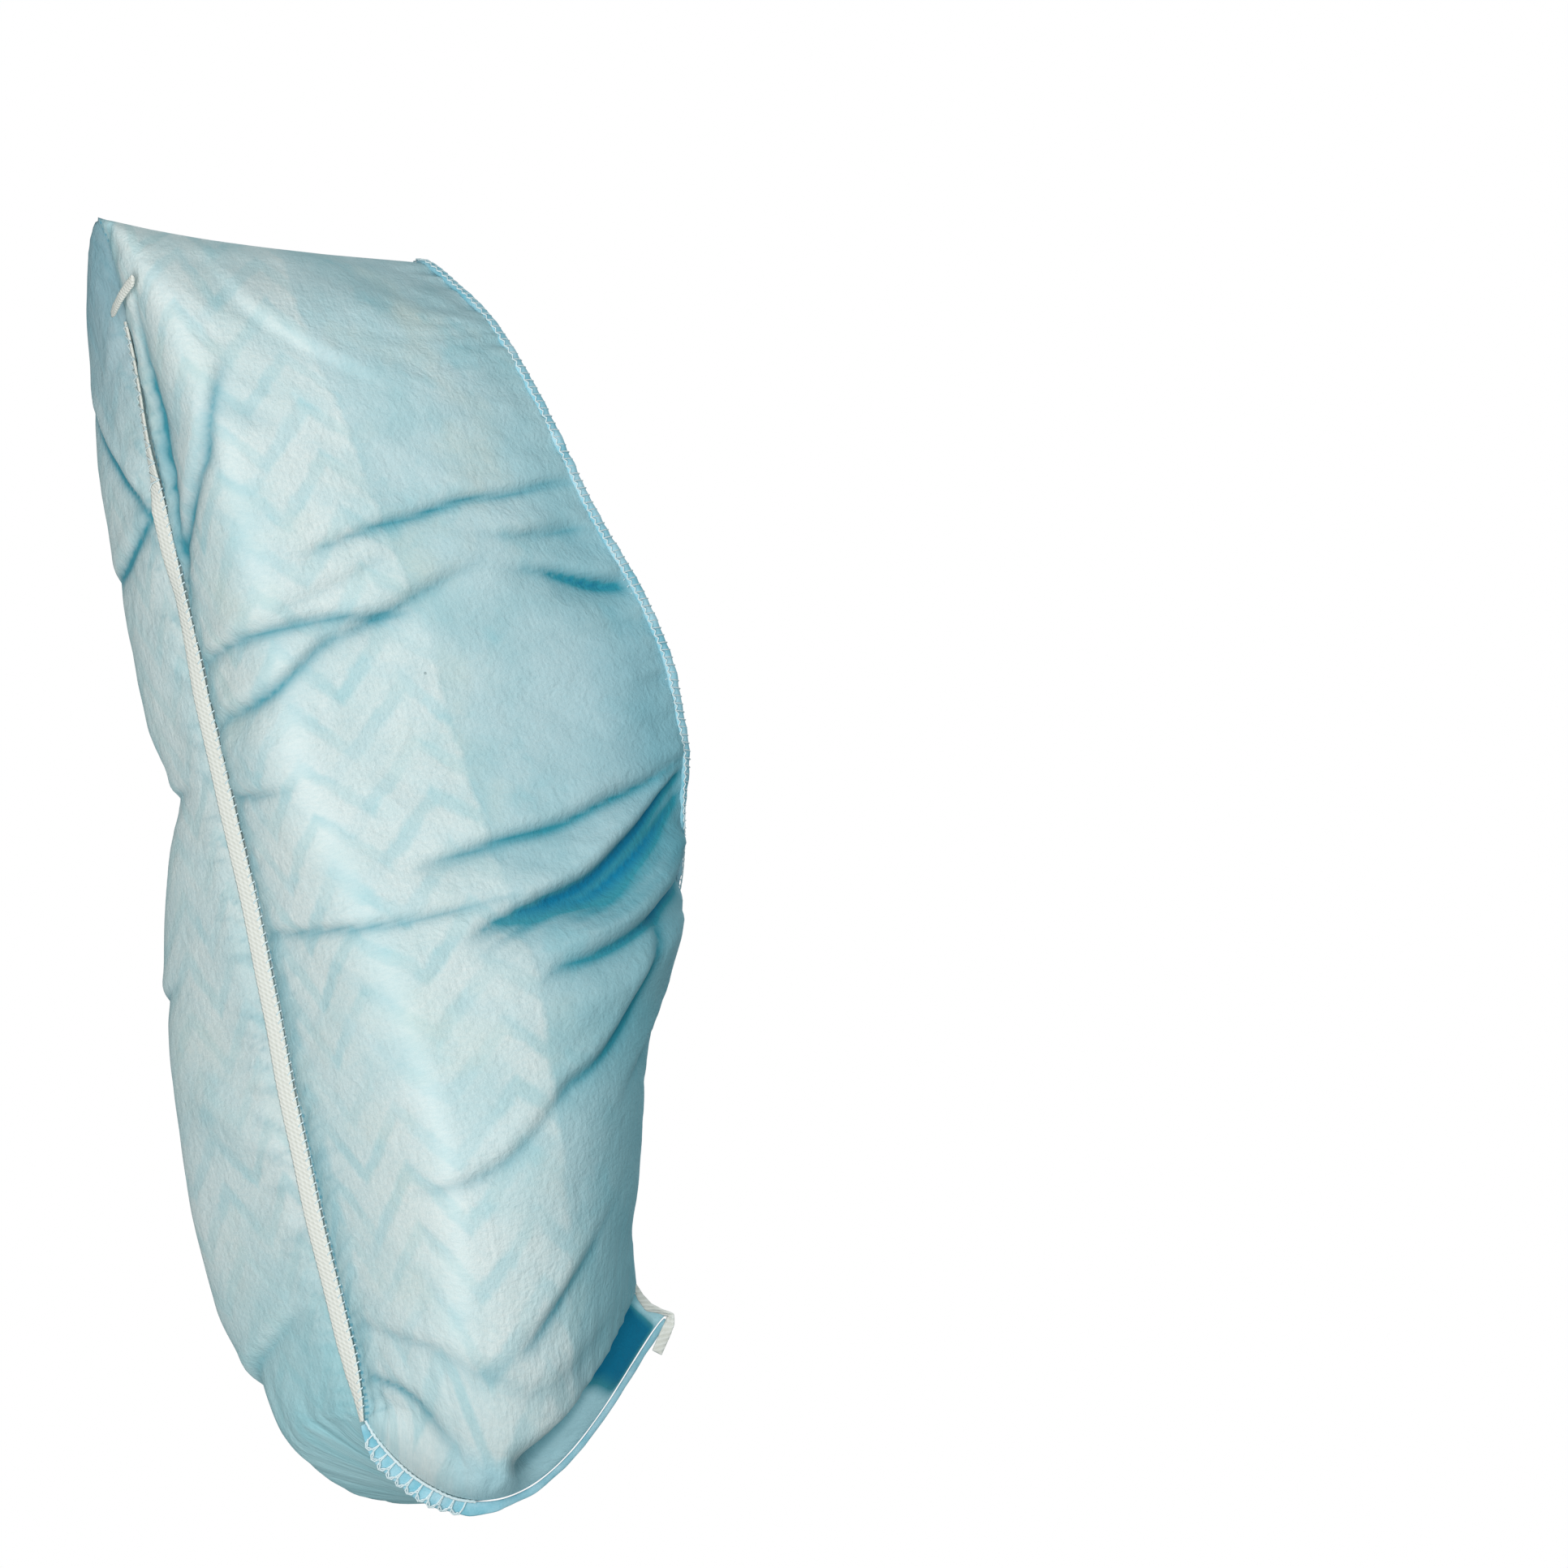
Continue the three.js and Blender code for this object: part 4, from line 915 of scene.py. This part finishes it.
def toe_allowance(distance):
    """The seam allowance at a distance along the end seam: its foot, the way out along it, the way
    through it and its width."""
    at, out, way = toe_seam(distance)
    width, lean = (np.interp(distance, EDGE_SHAPE[:, 0], EDGE_SHAPE[:, k]) for k in (1, 2))
    wave = 0.16 * noise.noise(Vector((distance / 4.0, 0.3, 8.0))) + 0.08 * math.sin(distance / 2.3)
    tilt = lean + wave
    across = np.array((0, 1.0, 0))
    tilted = out * math.cos(tilt) + across * math.sin(tilt)
    through = across * math.cos(tilt) - out * math.sin(tilt)
    return at, tilted, through, width


edge_rings = []
for distance in np.arange(EDGE_FROM, end_gone[-1] - EDGE_FROM, EDGE_STEP):
    at, out, through, width = toe_allowance(distance)
    width *= 1 + 0.12 * noise.noise(Vector((distance / 5.0, 5.0, 2.0)))
    edge_rings.append(band_ring(at + out * (0.35 + width / 2), out, through, width, EDGE_THICK, 10))
toe_edge = ribbon("toe_edge", edge_rings)
# The same spunbond cloth lying double, so of a deeper blue, with patches 6 mm wide and a fibrous grain.
folded, tree, shader = new_material("folded_spunbond_edge")
place = add(tree, "TexCoord", out="Object")
patch = add(tree, "TexNoise", {"Vector": place, "Scale": 0.16 / MM, "Detail": 3})
grit = add(tree, "TexNoise", {"Vector": place, "Scale": 1.5 / MM, "Detail": 3})
patch = add(tree, "MapRange", (patch, 0.35, 0.65, 0.0, 1.0))
colour = add(tree, "Mix", {0: patch, 6: linear("#7fbdcd"), 7: linear("#aed4df")}, out=2, data_type="RGBA")
tree.links.new(colour, shader.inputs["Base Color"])
shader.inputs["Roughness"].default_value = 0.8
bump = add(tree, "Bump", {"Strength": 0.6, "Distance": 0.2 * MM, "Height": grit})
tree.links.new(bump, shader.inputs["Normal"])
toe_edge.data.materials.append(folded)
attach(toe_edge, "root")
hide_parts("toe_seam_overlock")

# The overlock thread: a thicker row along the foot of the allowance, which carries on the tape's line,
# open loops over its edge, and a thread that zigzags along the edge from loop to loop.
TOE_STITCH = 3.0
LOOPED_TO = 37.0
TOE_CORD_RADIUS, TOE_THREAD_RADIUS = 0.42, 0.24
foot_row = []
for distance in np.arange(0.0, LOOPED_TO, 0.7):
    at, out, through, width = toe_allowance(distance)
    foot_row.append(at + out * (0.2 + 0.12 * math.sin(distance * 4.2)) - through * 0.8)
toe_cord = thread("toe_cord", [foot_row], TOE_CORD_RADIUS)
loops = []
edge_row = []
for start in np.arange(4.0, LOOPED_TO - TOE_STITCH, TOE_STITCH):
    run = []
    # share of the stitch, of the allowance's width, and place through it
    for t, reach, level in ((0.0, 0.05, -1.0), (0.06, 0.5, -0.95), (0.2, 0.94, -0.75), (0.5, 1.08, -0.3),
                            (0.8, 0.94, -0.8), (0.94, 0.5, -1.05), (1.0, 0.05, -1.0)):
        at, out, through, width = toe_allowance(start + t * TOE_STITCH)
        run.append(at + out * (0.3 + reach * width) + through * level * 0.75)
    loops.append(run)
    for t, reach in ((0.0, 0.62), (0.3, 0.8), (0.5, 0.98), (0.7, 0.8)):
        at, out, through, width = toe_allowance(start + t * TOE_STITCH)
        edge_row.append(at + out * (0.3 + reach * width) - through * 0.85)
toe_thread = thread("toe_thread", loops + [edge_row], TOE_THREAD_RADIUS)
for piece in (toe_cord, toe_thread):
    piece.data.materials.append(spun)
    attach(piece, "root")

# The opening's hem. The cloth's edge is turned over a thin elastic and overlocked, which gathers it
# into small ripples all the way round.
rim_u = np.linspace(0, RIM_FRONT, 260)
near_rim = half_surface(rim_u, np.array((0.97, 1.0)), -1)
far_rim = half_surface(rim_u, np.array((0.97, 1.0)), 1)
rim_path = np.concatenate((near_rim[:-1, 1], far_rim[::-1, 1][:-1]))
rim_below = np.concatenate((near_rim[:-1, 0], far_rim[::-1, 0][:-1]))
rim_gone = np.concatenate(([0], np.cumsum(np.linalg.norm(np.diff(rim_path, axis=0), axis=1))))
rim_round = rim_gone[-1] + np.linalg.norm(rim_path[0] - rim_path[-1])
rim_gone = np.append(rim_gone, rim_round)


def rim_at(distance):
    """A point of the opening's edge, the way up out of the cloth, and the way out of the cover."""
    def on(path, d):
        loop = np.vstack((path, path[:1]))
        return np.array([np.interp(d % rim_round, rim_gone, loop[:, k]) for k in range(3)])
    at = on(rim_path, distance)
    way = on(rim_path, distance + 2.5) - on(rim_path, distance - 2.5)
    way /= np.linalg.norm(way)
    rise = on(rim_path, distance) - on(rim_below, distance)
    rise -= way * rise.dot(way)
    rise /= max(np.linalg.norm(rise), 1e-6)
    return at, rise, np.cross(way, rise)


HEM_TALL, HEM_THICK = 2.7, 1.5
HEM_STEP = 0.7
RIPPLES = 22  # how tightly the gathers follow on each other
hem_rings = []
hem_count = int(rim_round / HEM_STEP)
for n in range(hem_count):
    distance = rim_round * n / hem_count
    at, rise, out = rim_at(distance)
    loop_turn = 2 * math.pi * n / hem_count
    ripple = noise.noise(Vector((RIPPLES * math.cos(loop_turn), RIPPLES * math.sin(loop_turn), 1.0)))
    middle = at - rise * 0.5 + out * 0.35 * ripple
    tall = HEM_TALL * (1 + 0.12 * ripple)
    hem_rings.append(band_ring(middle, rise, out, tall, HEM_THICK, 10))
hem = ribbon("hem", hem_rings, closed=True)
hem.data.materials.append(folded)
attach(hem, "root")
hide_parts("rim_hem")

# Its overlock thread: a loop over the edge every 2 mm, and a slack one between the feet of each two.
OVERLOCK = 2.0
HEM_THREAD_RADIUS = 0.17
loops = []
stitches = int(rim_round / OVERLOCK)
for n in range(stitches):
    run = []
    # share of the stitch, and the place up and out from the opening's edge
    for t, high, out_by in ((0, -2.1, 0.85), (0.25, -0.4, 0.95), (0.5, 0.98, 0.3), (0.6, 0.98, -0.3),
                            (0.8, -0.4, -0.95), (1.0, -2.1, -0.85)):
        at, rise, out = rim_at(rim_round * (n + t) / stitches)
        run.append(at + rise * high + out * out_by)
    loops.append(run)
    at, rise, out = rim_at(rim_round * n / stitches)
    after, rise_after, out_after = rim_at(rim_round * (n + 1) / stitches)
    loops.append([at - rise * 2.1 + out * 0.85, (at + after) / 2 - rise * 1.3 + out * 0.98,
                  after - rise_after * 2.1 + out_after * 0.85])
hem_thread = thread("hem_thread", loops, HEM_THREAD_RADIUS)
hem_thread.data.materials.append(spun)
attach(hem_thread, "root")
